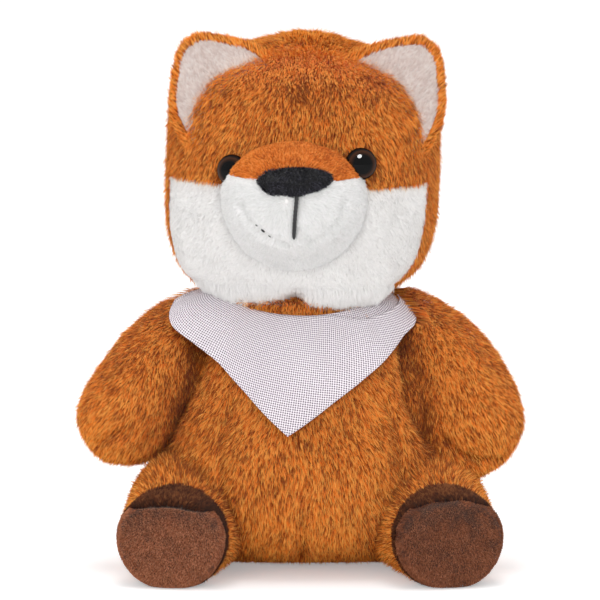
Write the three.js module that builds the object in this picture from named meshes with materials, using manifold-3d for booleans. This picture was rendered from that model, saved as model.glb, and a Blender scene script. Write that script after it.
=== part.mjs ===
// Sitting plush fox with a bandana: sewn skins over stuffing, safety eyes, feet with brown soles.
// Millimetres, +Z up, the face looks along -Y, and left and right are the fox's own.

import * as THREE from "three";
import { mergeVertices } from "three/addons/utils/BufferGeometryUtils.js";
import Module from "manifold-3d";

const wasm = await Module();
wasm.setup();

// Fits and cloth

const plushThickness = 1.2; // backing cloth with its pile pressed flat
const fit = 0.3; // air left between pieces that touch
const runningFit = 0.6; // air left where a sewn limb moves against its neighbour
const floorCut = 0.5; // how deep the forms are cut flat where they stand
const cutReach = 400; // size of the blocks that cut pieces at a seam
const stitchDepth = 1; // thickness of embroidered lines
const mergeReach = 0.0001; // points closer than this are one point
const slopeReach = 1; // distance between the places that a form's slope is taken from

// Body

const bodyMiddle = 2.2; // the left arm reaches less far out, so the body stands beside the middle
const neckHeight = 100; // the point that the head turns on
const neckTuck = 6; // how far the body reaches up into the hollow under the head
const bodyHeight = neckHeight + neckTuck;
const bodyHalfWidth = 56;
const bodyFront = 53;
const bodyBack = 49;
const bellyPanelHalfWidth = 34;
const basePanelHeight = 6;

// Head, placed on the neck point and turned a little to its own right

const neckBehind = 1;
const headSide = -1.8; // the head sits a little to the right of the body's middle
const headTurn = -5;
const headLean = 1.2;
const headHeight = 99.5;
const headHalfWidth = 52;
const headFront = 44;
const headBack = 46;
const maskHeight = 46.5; // top edge of the white mask above the neck
const backPanelAhead = 18; // how far in front of the neck the back panel's seam runs

// Muzzle

const muzzleHeight = 42.5; // middle of the muzzle above the neck
const muzzleSide = 0.3;
const muzzleRoot = 26; // where the muzzle starts inside the head, in front of the neck
const muzzleLength = 46;
const muzzleHalfWidth = 27;
const muzzleRise = 20;
const muzzleDrop = 21.5;
const bridgeSeamRise = 11.5; // the orange bridge starts this far above the muzzle's middle
const bridgeSlope = 3; // degrees by which its seam rises towards the nose

// Nose and mouth

const noseWidth = 28;
const noseHeight = 9.4;
const noseRise = 14.6; // top of the nose above the muzzle's middle
const noseThickness = 2.6;
const stitchAhead = 15; // the stitched face starts this far in front of the muzzle's root
const mouthLength = 16;
const mouthWidth = 1.3;
const smileReach = 13;
const smileDrop = 15.5;
const smileLength = 6;
const smileWidth = 0.9;

// Eyes

const eyeRadius = 6;
const eyeDome = 4.2;
const eyeRim = 0.9;
const socketHeight = 8.4; // room kept free in front of each eye
const eyeSpread = 23.3; // half the distance between the eyes
const eyeShift = 0.9; // both eyes are sewn a little to the left of the face's middle
const eyeHeight = 54; // above the neck
const eyeStagger = 1.9; // the left eye is sewn higher than the right one by twice this
const shankRadius = 2;
const shankLength = 11;
const washerRadius = 6.5;
const washerThickness = 1.5;
const washerSag = 1.7; // the flat washer stands this far off the curved skin at its middle

// Ears

const earHeight = 23;
const earRoot = 9; // part of the height that is sunk at the base before the head trims it
const earHalfWidth = 21.5;
const earFront = 4;
const earBack = 4.5;
const earRim = 3.4; // orange edge left round the white lining
const earLiningDepth = 2.2;
const earSide = 31; // middle of the ear's base from the middle of the head
const earBase = 77.5; // and above the neck
const leftEarOut = 3; // the left ear is sewn this much further out
const earAhead = 26; // and in front of the neck
const earSplay = 40; // degrees from upright to the side
const earYaw = 10; // degrees by which the lining looks outwards
const earLean = 12; // degrees by which the ear leans back
const earJointLow = -10;
const earJointHigh = 15;

// Arms

const armLength = 74;
const armHalfWidth = 16.6;
const armFront = 15.5;
const armBack = 15.5;
const armRootAbove = 6; // the arm starts this far above its shoulder point
const shoulderSide = 41.5;
const shoulderDrop = 3;
const shoulderHeight = neckHeight - shoulderDrop;
const shoulderAhead = 4;
const rightArmFall = 56; // degrees below level at rest
const leftArmFall = 62;
const armForward = 10; // degrees by which the hands reach forwards
const armJointIn = 5; // the arm's seam line, inside the shoulder point
const armJointRise = 4;
const armRaise = 26;

// Legs and feet

const legLength = 58;
const legHalfWidth = 21;
const legTop = 26;
const legBottom = 19;
const hipHeight = legBottom - floorCut;
const hipSide = 41.5;
const hipAhead = 5.5;
const rightLegSplay = 10; // degrees that each foot points outwards
const leftLegSplay = 13.5;
const soleThickness = 4.6;
const capLength = 12.5;
const capSlope = 12; // degrees by which the cap's seam leans back at the top
const legJointBack = 3; // the seam line that the leg swings on, behind the hip point
const legSwingIn = -8;
const legSwingOut = 16;

// Tail

const tailLength = 62;
const tailRadius = 15;
const tailBehind = 39;
const tailHeight = 21;
const tailRise = 60; // degrees above level
const tailTipShare = 0.62;
const tailSwing = 18;

// Bandana

const clothThickness = 0.9;
const bandanaDrop = 44.5; // from the neck point down to the hanging tip
const bandanaTipHeight = neckHeight - bandanaDrop;
const bandanaTipSide = -4.3;
const throatDrop = 0.5;
const bandanaThroat = neckHeight - throatDrop; // top edge at the throat
const collarRise = 6;
const bandanaShoulder = neckHeight + collarRise; // top edge at the shoulders
const napeRise = 3;
const bandanaNape = neckHeight + napeRise; // top edge behind the neck
const cornerDrop = 4.5;
const bandanaHemShoulder = neckHeight - cornerDrop;
const bandanaStrap = 5.5; // height of the strap behind the shoulders
const bandanaStrapOff = 3.5; // how far the strap stands off the body
const bandanaReach = 72; // degrees from the throat to the cloth's side corners
const bandanaOverRight = 14; // how far it stands off the body where it crosses the right shoulder
const bandanaOverLeft = 4.5; // and the left one, as the cloth is pulled round to the right
const bandanaFold = 1.5;
const bandanaFolds = 9;
const bandanaGap = 1.8;
const knotRadius = 6;
const knotLength = 17;

// Joints: how far the head turns to each side

const headSwing = 20;
const sweepStep = 13; // degrees between the places where a moving neighbour is cut clear
const clothSweepStep = 4.4; // and the same for the thin cloth

// Section counts

const roundSteps = 20;
const limbSteps = 16;
const earSteps = 16;
const knotSteps = 10;
const latheSteps = 14;
const clothSteps = 45;
const domeSteps = 5;
const stitchSteps = 4;

// Shares of each form's own length, half width, front depth and back depth, station by station

const bodyShares = {
  along: [0, 0.02, 0.07, 0.15, 0.27, 0.42, 0.58, 0.72, 0.84, 0.93, 1],
  width: [0.56, 0.7, 0.84, 0.93, 1, 0.99, 0.93, 0.86, 0.77, 0.64, 0.3],
  front: [0.1, 0.27, 0.62, 0.87, 0.98, 1, 0.96, 0.89, 0.8, 0.66, 0.3],
  back: [0.55, 0.7, 0.85, 0.95, 1, 0.97, 0.9, 0.82, 0.73, 0.62, 0.3],
};
const headShares = {
  along: [0, 0.03, 0.08, 0.16, 0.28, 0.42, 0.56, 0.7, 0.82, 0.91, 0.97, 1],
  width: [0.24, 0.5, 0.71, 0.88, 0.98, 1, 1, 0.975, 0.89, 0.71, 0.43, 0.16],
  front: [0.28, 0.56, 0.78, 0.9, 0.97, 1, 1, 0.96, 0.88, 0.74, 0.52, 0.24],
  back: [0.2, 0.42, 0.63, 0.81, 0.94, 0.99, 1, 0.96, 0.85, 0.67, 0.44, 0.2],
};
const muzzleShares = {
  along: [0, 0.2, 0.42, 0.6, 0.76, 0.88, 0.96, 1],
  width: [1, 1, 0.98, 0.92, 0.8, 0.62, 0.38, 0.14],
  front: [1, 1, 0.98, 0.93, 0.83, 0.66, 0.42, 0.16],
  back: [1.1, 1.08, 1.04, 0.98, 0.88, 0.72, 0.46, 0.16],
};
const armShares = {
  along: [0, 0.05, 0.13, 0.26, 0.43, 0.6, 0.75, 0.87, 0.95, 1],
  width: [0.24, 0.46, 0.66, 0.84, 0.95, 1, 0.99, 0.84, 0.56, 0.2],
  front: [0.24, 0.46, 0.68, 0.86, 0.96, 1, 0.96, 0.8, 0.54, 0.2],
  back: [0.24, 0.46, 0.68, 0.86, 0.96, 1, 0.96, 0.8, 0.54, 0.2],
};
const legShares = {
  along: [0, 0.08, 0.2, 0.36, 0.52, 0.68, 0.82, 0.92, 0.975, 1],
  width: [0.5, 0.78, 0.95, 1, 0.99, 0.97, 0.98, 0.985, 0.95, 0.84],
  front: [0.55, 0.82, 0.97, 0.97, 0.84, 0.68, 0.6, 0.58, 0.54, 0.44],
  back: [0.5, 0.8, 0.95, 1, 1, 1, 1, 1, 0.96, 0.84],
};
const tailShares = {
  along: [0, 0.06, 0.18, 0.34, 0.5, 0.66, 0.8, 0.9, 0.97, 1],
  width: [0.5, 0.62, 0.78, 0.94, 1, 0.96, 0.8, 0.58, 0.34, 0.14],
  front: [0.5, 0.62, 0.78, 0.94, 1, 0.96, 0.8, 0.58, 0.34, 0.14],
  back: [0.5, 0.62, 0.78, 0.94, 1, 0.96, 0.8, 0.58, 0.34, 0.14],
};
const earShares = {
  along: [0, 0.2, 0.4, 0.58, 0.74, 0.87, 0.95, 1],
  width: [1, 0.985, 0.93, 0.84, 0.7, 0.53, 0.36, 0.16],
  front: [1, 1, 0.97, 0.92, 0.82, 0.66, 0.46, 0.2],
  back: [1, 1, 0.98, 0.94, 0.85, 0.7, 0.5, 0.22],
};

// The nose's outline from its lowest point round to its top, as shares of its half width and its height
const noseShares = {
  across: [0.45, 0.85, 1.12, 0.78, 0],
  down: [1, 0.62, 0.25, 0.08, -0.1],
};

const clothRowShares = [0, 0.1, 0.28, 0.58, 1]; // from the cloth's top edge down to its hem
// Where the cloth lifts off the body, stands highest, and lies low again, as shares of its reach
const clothLiftShares = [0.5, 1, 1.4];

const bodySquareness = 2.15;
const headSquareness = 2.45;
const roundSquareness = 2;
const footSquareness = 2.35;

// Finishes

const finishes = {
  orangePlush: { color: 0xb9641f, roughness: 0.95 },
  bridgeVelour: { color: 0xcb6d28, roughness: 0.85 },
  whitePlush: { color: 0xebe8e5, roughness: 0.95 },
  brownVelour: { color: 0x5f4334, roughness: 0.85 },
  stuffing: { color: 0xf2f1ee, roughness: 1 },
  blackStitch: { color: 0x16151a, roughness: 0.8 },
  darkEye: { color: 0x1c0f0a, roughness: 0.12 },
  clearWasher: { color: 0xd9d9d6, roughness: 0.4 },
  bandanaKnit: { color: 0xe8e4ec, roughness: 0.8 },
};

// Directions

const vector = (x, y, z) => new THREE.Vector3(x, y, z);
const xAxis = vector(1, 0, 0);
const zAxis = vector(0, 0, 1);
const frontward = vector(0, -1, 0);
const radians = THREE.MathUtils.degToRad;

// Solids and cuts

function solidOf(geometry) {
  const bare = geometry.clone();
  bare.deleteAttribute("normal");
  bare.deleteAttribute("uv");
  const merged = mergeVertices(bare, mergeReach);
  return new wasm.Manifold(new wasm.Mesh({
    numProp: 3,
    vertProperties: new Float32Array(merged.attributes.position.array),
    triVerts: new Uint32Array(merged.index.array),
  }));
}

function geometryOf(solid) {
  const mesh = solid.getMesh();
  const geometry = new THREE.BufferGeometry();
  geometry.setAttribute("position", new THREE.BufferAttribute(mesh.vertProperties, 3));
  geometry.setIndex(new THREE.BufferAttribute(mesh.triVerts, 1));
  geometry.computeVertexNormals();
  return geometry;
}

// A turned frame: local Z runs along, local -Y looks to the front
function frameAt(origin, along, front) {
  const z = along.clone().normalize();
  const x = new THREE.Vector3().crossVectors(front, z).negate().normalize();
  const y = new THREE.Vector3().crossVectors(z, x);
  return new THREE.Matrix4().makeBasis(x, y, z).setPosition(origin);
}

function moved(geometry, matrix) {
  return geometry.clone().applyMatrix4(matrix);
}

// Turning about a joint's axis through its point
function turnAbout(joint, degrees) {
  const there = new THREE.Matrix4().makeTranslation(...joint.point.toArray());
  const back = new THREE.Matrix4().makeTranslation(...joint.point.clone().negate().toArray());
  const turn = new THREE.Matrix4().makeRotationAxis(joint.axis, THREE.MathUtils.degToRad(degrees));
  return there.multiply(turn).multiply(back);
}

function anglesOf(joint, step = sweepStep) {
  const range = joint.high - joint.low;
  const count = Math.max(1, Math.ceil(range / step));
  return Array.from({ length: count + 1 }, (_, i) => joint.low + range * i / count);
}

// A block whose one face passes through a point and whose body lies on the side that the normal points to
function blockBeyond(point, normal) {
  const block = new THREE.BoxGeometry(cutReach, cutReach, cutReach);
  block.translate(0, 0, cutReach / 2);
  const outward = normal.clone().normalize();
  block.applyQuaternion(new THREE.Quaternion().setFromUnitVectors(zAxis, outward));
  return solidOf(block.translate(point.x, point.y, point.z));
}

// Splits a solid at a plane and leaves a seam gap: the first part lies on the normal's side
function splitAt(solid, point, normal) {
  const shift = normal.clone().normalize().multiplyScalar(fit / 2);
  const beyond = blockBeyond(point.clone().add(shift), normal);
  const before = blockBeyond(point.clone().sub(shift), normal.clone().negate());
  return [solid.intersect(beyond), solid.intersect(before)];
}

// Stuffed forms: superellipse sections stacked along local Z, closed by a middle point at each end.
// An offset draws every section out or in and lengthens or shortens the form to match.

function sectionAt(form, share, offset) {
  const { along } = form.shares;
  let i = 0;
  while (i < along.length - 2 && along[i + 1] < share) i += 1;
  const blend = THREE.MathUtils.clamp((share - along[i]) / (along[i + 1] - along[i]), 0, 1);
  const reach = (name, size) => {
    const [before, after] = form.shares[name].slice(i, i + 2);
    return THREE.MathUtils.lerp(before, after, blend) * (size + offset);
  };
  return {
    width: reach("width", form.halfWidth),
    front: reach("front", form.front),
    back: reach("back", form.back),
  };
}

function superellipsePoint(section, squareness, angle) {
  const c = Math.cos(angle);
  const s = Math.sin(angle);
  const round = (value) => Math.sign(value) * Math.abs(value) ** (2 / squareness);
  return [section.width * round(c), (s < 0 ? section.front : section.back) * round(s)];
}

function stuffedForm(form, offset = 0, steps = form.steps) {
  const { along } = form.shares;
  const start = -offset;
  const span = form.length + 2 * offset;
  const positions = [0, 0, start];
  const index = [];
  along.forEach((share) => {
    const section = sectionAt(form, share, offset);
    for (let j = 0; j < steps; j += 1) {
      const [x, y] = superellipsePoint(section, form.squareness, 2 * Math.PI * j / steps);
      positions.push(x, y, start + span * share);
    }
  });
  positions.push(0, 0, start + span);
  const last = 1 + along.length * steps;
  for (let j = 0; j < steps; j += 1) {
    const next = (j + 1) % steps;
    index.push(0, 1 + next, 1 + j);
    for (let i = 0; i < along.length - 1; i += 1) {
      const a = 1 + i * steps + j;
      const b = 1 + i * steps + next;
      index.push(a, b, b + steps, a, b + steps, a + steps);
    }
    index.push(last, last - steps + j, last - steps + next);
  }
  const geometry = new THREE.BufferGeometry();
  geometry.setAttribute("position", new THREE.Float32BufferAttribute(positions, 3));
  geometry.setIndex(index);
  return geometry.applyMatrix4(form.place);
}

// A profile of radius and height turned about local Z
function turnedProfile(points, place, steps = latheSteps) {
  const lathe = new THREE.LatheGeometry(points.map(([r, h]) => new THREE.Vector2(r, h)), steps);
  return lathe.rotateX(Math.PI / 2).applyMatrix4(place);
}

function skinOf(form) {
  return solidOf(stuffedForm(form)).subtract(solidOf(stuffedForm(form, -plushThickness)));
}

function stuffingOf(form) {
  return solidOf(stuffedForm(form, -plushThickness - fit, form.steps / 2));
}

function cutClear(solid, obstacles) {
  return obstacles.reduce((left, obstacle) => left.subtract(solidOf(obstacle)), solid);
}

// How far a standing form reaches from its own axis at a height and an angle from the front
function reachAt(form, height, angle) {
  const section = sectionAt(form, height / form.length, 0);
  const side = Math.abs(Math.sin(angle)) / section.width;
  const depth = Math.abs(Math.cos(angle)) / (Math.cos(angle) > 0 ? section.front : section.back);
  return (side ** form.squareness + depth ** form.squareness) ** (-1 / form.squareness);
}

// Depth of a standing form's front face at a place on it
function frontAt(form, side, height) {
  const section = sectionAt(form, height / form.length, 0);
  return -section.front * (1 - Math.abs(side / section.width) ** form.squareness) ** (1 / form.squareness);
}

// Forms in the fox's frame, and those of the head in the head's own frame

const bodyForm = {
  shares: bodyShares, length: bodyHeight, halfWidth: bodyHalfWidth, front: bodyFront, back: bodyBack,
  squareness: bodySquareness, steps: roundSteps,
  place: new THREE.Matrix4().makeTranslation(bodyMiddle, 0, -floorCut),
};

const headForm = {
  shares: headShares, length: headHeight, halfWidth: headHalfWidth, front: headFront, back: headBack,
  squareness: headSquareness, steps: roundSteps,
  place: new THREE.Matrix4(),
};

const muzzleForm = {
  shares: muzzleShares, length: muzzleLength, halfWidth: muzzleHalfWidth,
  front: muzzleDrop, back: muzzleRise, squareness: roundSquareness, steps: roundSteps,
  place: frameAt(vector(muzzleSide, -muzzleRoot, muzzleHeight), frontward, vector(0, 0, -1)),
};

function earForm(side, margin = 0) {
  const splay = radians(earSplay);
  const yaw = radians(earYaw);
  const along = vector(side * Math.sin(splay), Math.sin(radians(earLean)), Math.cos(splay));
  const front = vector(side * Math.sin(yaw), -Math.cos(yaw), 0);
  const out = side > 0 ? earSide + leftEarOut : earSide;
  const base = vector(side * out, -earAhead, earBase).addScaledVector(along, -earRoot);
  return {
    shares: earShares, length: earHeight + earRoot - margin, halfWidth: earHalfWidth - margin,
    front: earFront, back: earBack, squareness: roundSquareness, steps: earSteps,
    place: frameAt(base, along, front),
  };
}

// side is 1 for the fox's left, which has +X
function armForm(side) {
  const fall = radians(side > 0 ? leftArmFall : rightArmFall);
  const reach = radians(armForward);
  const along = vector(side * Math.cos(fall), -Math.sin(reach), -Math.sin(fall));
  const shoulder = vector(bodyMiddle + side * shoulderSide, -shoulderAhead, shoulderHeight);
  return {
    shares: armShares, length: armLength, halfWidth: armHalfWidth, front: armFront, back: armBack,
    squareness: roundSquareness, steps: limbSteps,
    place: frameAt(shoulder.addScaledVector(along, -armRootAbove), along, frontward),
  };
}

function legForm(side) {
  const splay = radians(side > 0 ? leftLegSplay : rightLegSplay);
  const along = vector(side * Math.sin(splay), -Math.cos(splay), 0);
  return {
    shares: legShares, length: legLength, halfWidth: legHalfWidth, front: legTop, back: legBottom,
    squareness: footSquareness, steps: limbSteps,
    place: frameAt(vector(bodyMiddle + side * hipSide, -hipAhead, hipHeight), along, zAxis),
  };
}

const tailRiseAngle = radians(tailRise);
const tailRoot = vector(bodyMiddle, tailBehind, tailHeight);
const tailForm = {
  shares: tailShares, length: tailLength, halfWidth: tailRadius, front: tailRadius, back: tailRadius,
  squareness: roundSquareness, steps: limbSteps,
  place: frameAt(tailRoot, vector(0, Math.cos(tailRiseAngle), Math.sin(tailRiseAngle)), zAxis),
};

// Joints: point, axis and range in degrees from the pose that is built

const neckPoint = vector(bodyMiddle + headSide, neckBehind, neckHeight);
const headPlace = new THREE.Matrix4().setPosition(neckPoint)
  .multiply(new THREE.Matrix4().makeRotationY(radians(headLean)))
  .multiply(new THREE.Matrix4().makeRotationZ(radians(headTurn)));
const headJoint = { point: neckPoint, axis: zAxis, low: -headSwing, high: headSwing };

// Positive turns raise the hand on either side
function armJoint(side) {
  const across = bodyMiddle + side * (shoulderSide - armJointIn);
  const point = vector(across, -shoulderAhead, shoulderHeight + armJointRise);
  return { point, axis: vector(0, -side, 0), low: 0, high: armRaise };
}

// Positive turns swing the foot outwards
function legJoint(side) {
  const point = vector(bodyMiddle + side * hipSide, -hipAhead + legJointBack, hipHeight);
  return { point, axis: vector(0, 0, side), low: legSwingIn, high: legSwingOut };
}

// Positive turns tip the ear forwards
function earJoint(side) {
  const form = earForm(side);
  const axis = xAxis.clone().transformDirection(form.place);
  const point = vector(0, 0, earRoot).applyMatrix4(form.place);
  return { point, axis, low: earJointLow, high: earJointHigh };
}

const tailJoint = { point: tailRoot, axis: zAxis, low: -tailSwing, high: tailSwing };

// Everything that a moving piece meets, seen from that piece over its whole range
function sweptFrom(joint, geometry, step) {
  return anglesOf(joint, step).map((degrees) => moved(geometry, turnAbout(joint, -degrees)));
}

// The room that the head's underside sweeps as it turns: its widest reach at each height, all round
function headSweep() {
  const profile = [[0, -runningFit]];
  for (const share of headShares.along.slice(0, -1)) {
    const section = sectionAt(headForm, share, runningFit);
    const reach = Math.max(...Array.from({ length: roundSteps }, (_, j) => (
      Math.hypot(...superellipsePoint(section, headSquareness, 2 * Math.PI * j / roundSteps)))));
    profile.push([reach, headHeight * share - runningFit]);
  }
  profile.push([0, profile.at(-1)[1]]);
  return turnedProfile(profile, headPlace, roundSteps);
}

const headRoom = headSweep();
const bodyOutline = stuffedForm(bodyForm, runningFit);

// Head skin in four panels round its stuffing

const root = new THREE.Group();
const head = new THREE.Group();
head.applyMatrix4(headPlace);
root.add(head);

function addPiece(parent, name, solid, finish) {
  const material = new THREE.MeshStandardMaterial({ metalness: 0, ...finishes[finish] });
  const mesh = new THREE.Mesh(geometryOf(solid), material);
  mesh.name = name;
  parent.add(mesh);
}

function eyePlace(side) {
  const aside = eyeShift + side * eyeSpread;
  const height = eyeHeight + side * eyeStagger;
  const onFace = (across, up) => vector(across, frontAt(headForm, across, up), up);
  const here = onFace(aside, height);
  const beside = onFace(aside + slopeReach, height);
  const above = onFace(aside, height + slopeReach);
  const outward = beside.sub(here).cross(above.sub(here)).normalize();
  return frameAt(here.addScaledVector(outward, fit), outward, vector(0, 0, -1));
}

function eyeGeometry(side) {
  const profile = [[0, -shankLength], [shankRadius, -shankLength], [shankRadius, 0], [eyeRadius, 0]];
  for (let i = 0; i < domeSteps; i += 1) {
    const angle = Math.PI / 2 * i / domeSteps;
    profile.push([eyeRadius * Math.cos(angle), eyeRim + (eyeDome - eyeRim) * Math.sin(angle)]);
  }
  profile.push([0, eyeDome]);
  return turnedProfile(profile, eyePlace(side));
}

function shankHole(side) {
  const wide = shankRadius + fit;
  const deep = shankLength + fit;
  return turnedProfile([[0, -deep], [wide, -deep], [wide, fit], [0, fit]], eyePlace(side));
}

function washerGeometry(side, margin) {
  const inner = shankRadius + fit - margin;
  const outer = washerRadius + margin;
  const seat = -plushThickness - washerSag;
  const near = seat + margin;
  const far = seat - washerThickness - margin;
  const profile = [[inner, far], [outer, far], [outer, near], [inner, near], [inner, far]];
  return turnedProfile(profile, eyePlace(side));
}

function eyeSocket(side) {
  const wide = eyeRadius + fit;
  const profile = [[0, -eyeDome], [wide, -eyeDome], [wide, socketHeight], [0, socketHeight]];
  return turnedProfile(profile, eyePlace(side));
}

const sides = { right: -1, left: 1 };

function buildHead() {
  const [front, back] = splitAt(skinOf(headForm), vector(0, -backPanelAhead, 0), frontward);
  const [crown, mask] = splitAt(front, vector(0, 0, maskHeight), zAxis);
  const [leftCheek, rightCheek] = splitAt(mask, vector(0, 0, 0), xAxis);
  const shankHoles = Object.values(sides).map(shankHole);
  addPiece(head, "head_crown_panel", cutClear(crown, shankHoles), "orangePlush");
  addPiece(head, "head_back_panel", back, "orangePlush");
  addPiece(head, "cheek_left_panel", leftCheek, "whitePlush");
  addPiece(head, "cheek_right_panel", rightCheek, "whitePlush");
  const washerHoles = Object.values(sides).map((side) => washerGeometry(side, fit));
  const stuffing = cutClear(stuffingOf(headForm), [...shankHoles, ...washerHoles]);
  addPiece(head, "head_stuffing", stuffing, "stuffing");
}

// Muzzle dome sewn on the face, with the short orange bridge along its top

function buildMuzzle() {
  const headBlock = stuffedForm(headForm, fit);
  const sockets = Object.values(sides).map(eyeSocket);
  const slope = radians(bridgeSlope);
  const seamPoint = vector(0, -muzzleRoot - muzzleLength, muzzleHeight + bridgeSeamRise);
  const skin = cutClear(skinOf(muzzleForm), [headBlock, ...sockets]);
  const [bridge, lower] = splitAt(skin, seamPoint, vector(0, Math.sin(slope), Math.cos(slope)));
  addPiece(head, "muzzle_bridge_panel", bridge, "bridgeVelour");
  addPiece(head, "muzzle_panel", lower, "whitePlush");
  addPiece(head, "muzzle_stuffing", cutClear(stuffingOf(muzzleForm), [headBlock, ...sockets]), "stuffing");
}

// A flat outline carried forwards, kept as a skin of its own thickness on the muzzle
function onMuzzle(shape, thickness) {
  const carried = { depth: muzzleLength, bevelEnabled: false, curveSegments: stitchSteps };
  const block = new THREE.ExtrudeGeometry(shape, carried);
  block.rotateX(Math.PI / 2).translate(muzzleSide, -muzzleRoot - stitchAhead, muzzleHeight);
  const outer = solidOf(stuffedForm(muzzleForm, thickness + fit));
  const layer = outer.subtract(solidOf(stuffedForm(muzzleForm, fit)));
  return solidOf(block).intersect(layer);
}

function noseShape() {
  const { across, down } = noseShares;
  const outline = (side, i) => [side * noseWidth / 2 * across[i], noseRise - noseHeight * down[i]];
  const shape = new THREE.Shape();
  shape.moveTo(0, noseRise - noseHeight);
  shape.quadraticCurveTo(...outline(1, 0), ...outline(1, 1));
  shape.quadraticCurveTo(...outline(1, 2), ...outline(1, 3));
  shape.quadraticCurveTo(...outline(1, 4), ...outline(-1, 3));
  shape.quadraticCurveTo(...outline(-1, 2), ...outline(-1, 1));
  shape.quadraticCurveTo(...outline(-1, 0), 0, noseRise - noseHeight);
  return shape;
}

function mouthShape() {
  const half = mouthWidth / 2;
  const top = noseRise - noseHeight - fit;
  const shape = new THREE.Shape();
  shape.moveTo(-half, top);
  shape.lineTo(-half, top - mouthLength);
  shape.lineTo(half, top - mouthLength);
  shape.lineTo(half, top);
  shape.closePath();
  return shape;
}

// Two short stitched lines that turn up at the ends of the smile
function smileShape(side) {
  const low = noseRise - noseHeight - smileDrop;
  const near = side * (smileReach - smileLength / 2);
  const far = side * (smileReach + smileLength / 2);
  const shape = new THREE.Shape();
  shape.moveTo(near, low);
  shape.quadraticCurveTo(side * smileReach, low, far, low + smileLength / 2);
  shape.lineTo(far, low + smileLength / 2 + smileWidth);
  shape.quadraticCurveTo(side * smileReach, low + smileWidth, near, low + smileWidth);
  shape.closePath();
  return shape;
}

function buildFace() {
  addPiece(head, "nose", onMuzzle(noseShape(), noseThickness), "blackStitch");
  addPiece(head, "mouth_stitch", onMuzzle(mouthShape(), stitchDepth), "blackStitch");
  for (const [name, side] of Object.entries(sides)) {
    addPiece(head, `smile_${name}_stitch`, onMuzzle(smileShape(side), stitchDepth), "blackStitch");
    addPiece(head, `eye_${name}`, solidOf(eyeGeometry(side)), "darkEye");
    addPiece(head, `eye_${name}_washer`, solidOf(washerGeometry(side, 0)), "clearWasher");
  }
}

// Ears: an orange pouch with a white lining set inside its rim

function buildEars() {
  for (const [name, side] of Object.entries(sides)) {
    const headSeen = sweptFrom(earJoint(side), stuffedForm(headForm, runningFit));
    const pouch = earForm(side);
    const lining = earForm(side, earRim);
    const forward = frontward.clone().transformDirection(pouch.place);
    const seat = new THREE.Vector3().setFromMatrixPosition(pouch.place);
    seat.addScaledVector(forward, earFront - earLiningDepth);
    const inFront = blockBeyond(seat, forward);
    const inFrontOfSeat = blockBeyond(seat.clone().addScaledVector(forward, -fit), forward);
    const recess = solidOf(stuffedForm(lining, fit)).intersect(inFrontOfSeat);
    const back = solidOf(stuffedForm(pouch)).subtract(recess);
    addPiece(head, `ear_${name}_back`, cutClear(back, headSeen), "orangePlush");
    const front = solidOf(stuffedForm(lining)).intersect(inFront);
    addPiece(head, `ear_${name}_lining`, cutClear(front, headSeen), "whitePlush");
  }
}

// Body skin: belly panel, two sides that meet behind, and a base under the seat

function buildBody() {
  const standing = blockBeyond(vector(0, 0, 0), zAxis);
  const shell = cutClear(skinOf(bodyForm), [headRoom]).intersect(standing);
  const [upper, base] = splitAt(shell, vector(0, 0, basePanelHeight), zAxis);
  const bellyBlock = (margin) => {
    const block = new THREE.BoxGeometry(2 * (bellyPanelHalfWidth + margin), cutReach, cutReach);
    return block.translate(bodyMiddle, margin - cutReach / 2, 0);
  };
  const flanks = upper.subtract(solidOf(bellyBlock(fit)));
  const [leftSide, rightSide] = splitAt(flanks, vector(bodyMiddle, 0, 0), xAxis);
  addPiece(root, "belly_panel", upper.intersect(solidOf(bellyBlock(0))), "orangePlush");
  addPiece(root, "body_left_panel", leftSide, "orangePlush");
  addPiece(root, "body_right_panel", rightSide, "orangePlush");
  addPiece(root, "body_base_panel", base, "orangePlush");
  const inside = blockBeyond(vector(0, 0, plushThickness + fit), zAxis);
  addPiece(root, "body_stuffing", cutClear(stuffingOf(bodyForm), [headRoom]).intersect(inside), "stuffing");
}

// Legs: orange upper, brown cap over the foot, brown sole, stuffing

function buildLegs() {
  for (const [name, side] of Object.entries(sides)) {
    const form = legForm(side);
    const bodySeen = sweptFrom(legJoint(side), bodyOutline);
    const standing = blockBeyond(vector(0, 0, 0), zAxis);
    const skin = cutClear(skinOf(form), bodySeen).intersect(standing);
    const along = zAxis.clone().transformDirection(form.place);
    const soleSeam = vector(0, 0, legLength - soleThickness).applyMatrix4(form.place);
    const capSeam = vector(0, 0, legLength - soleThickness - capLength).applyMatrix4(form.place);
    const slope = radians(capSlope);
    const capNormal = along.clone().multiplyScalar(Math.cos(slope)).addScaledVector(zAxis, Math.sin(slope));
    const [sole, rest] = splitAt(skin, soleSeam, along);
    const [cap, upper] = splitAt(rest, capSeam, capNormal);
    addPiece(root, `leg_${name}_skin`, upper, "orangePlush");
    addPiece(root, `foot_${name}_cap`, cap, "brownVelour");
    addPiece(root, `foot_${name}_sole`, sole, "brownVelour");
    const inside = blockBeyond(vector(0, 0, plushThickness + fit), zAxis);
    const stuffing = cutClear(stuffingOf(form), bodySeen).intersect(inside);
    addPiece(root, `leg_${name}_stuffing`, stuffing, "stuffing");
  }
}

// Tail: orange skin with a white tip

function buildTail() {
  const bodySeen = sweptFrom(tailJoint, bodyOutline);
  const along = zAxis.clone().transformDirection(tailForm.place);
  const seam = vector(0, 0, tailLength * tailTipShare).applyMatrix4(tailForm.place);
  const [tip, skin] = splitAt(cutClear(skinOf(tailForm), bodySeen), seam, along);
  addPiece(root, "tail_skin", skin, "orangePlush");
  addPiece(root, "tail_tip", tip, "whitePlush");
  addPiece(root, "tail_stuffing", cutClear(stuffingOf(tailForm), bodySeen), "stuffing");
}

// Bandana: one cloth round the neck, a strap behind that widens to the hanging triangle in front.
// Angles are turned about the body's axis from the throat; the fox's left is positive.

const bandanaTipAngle = Math.asin((bandanaTipSide - bodyMiddle) / bodyFront);

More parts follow.
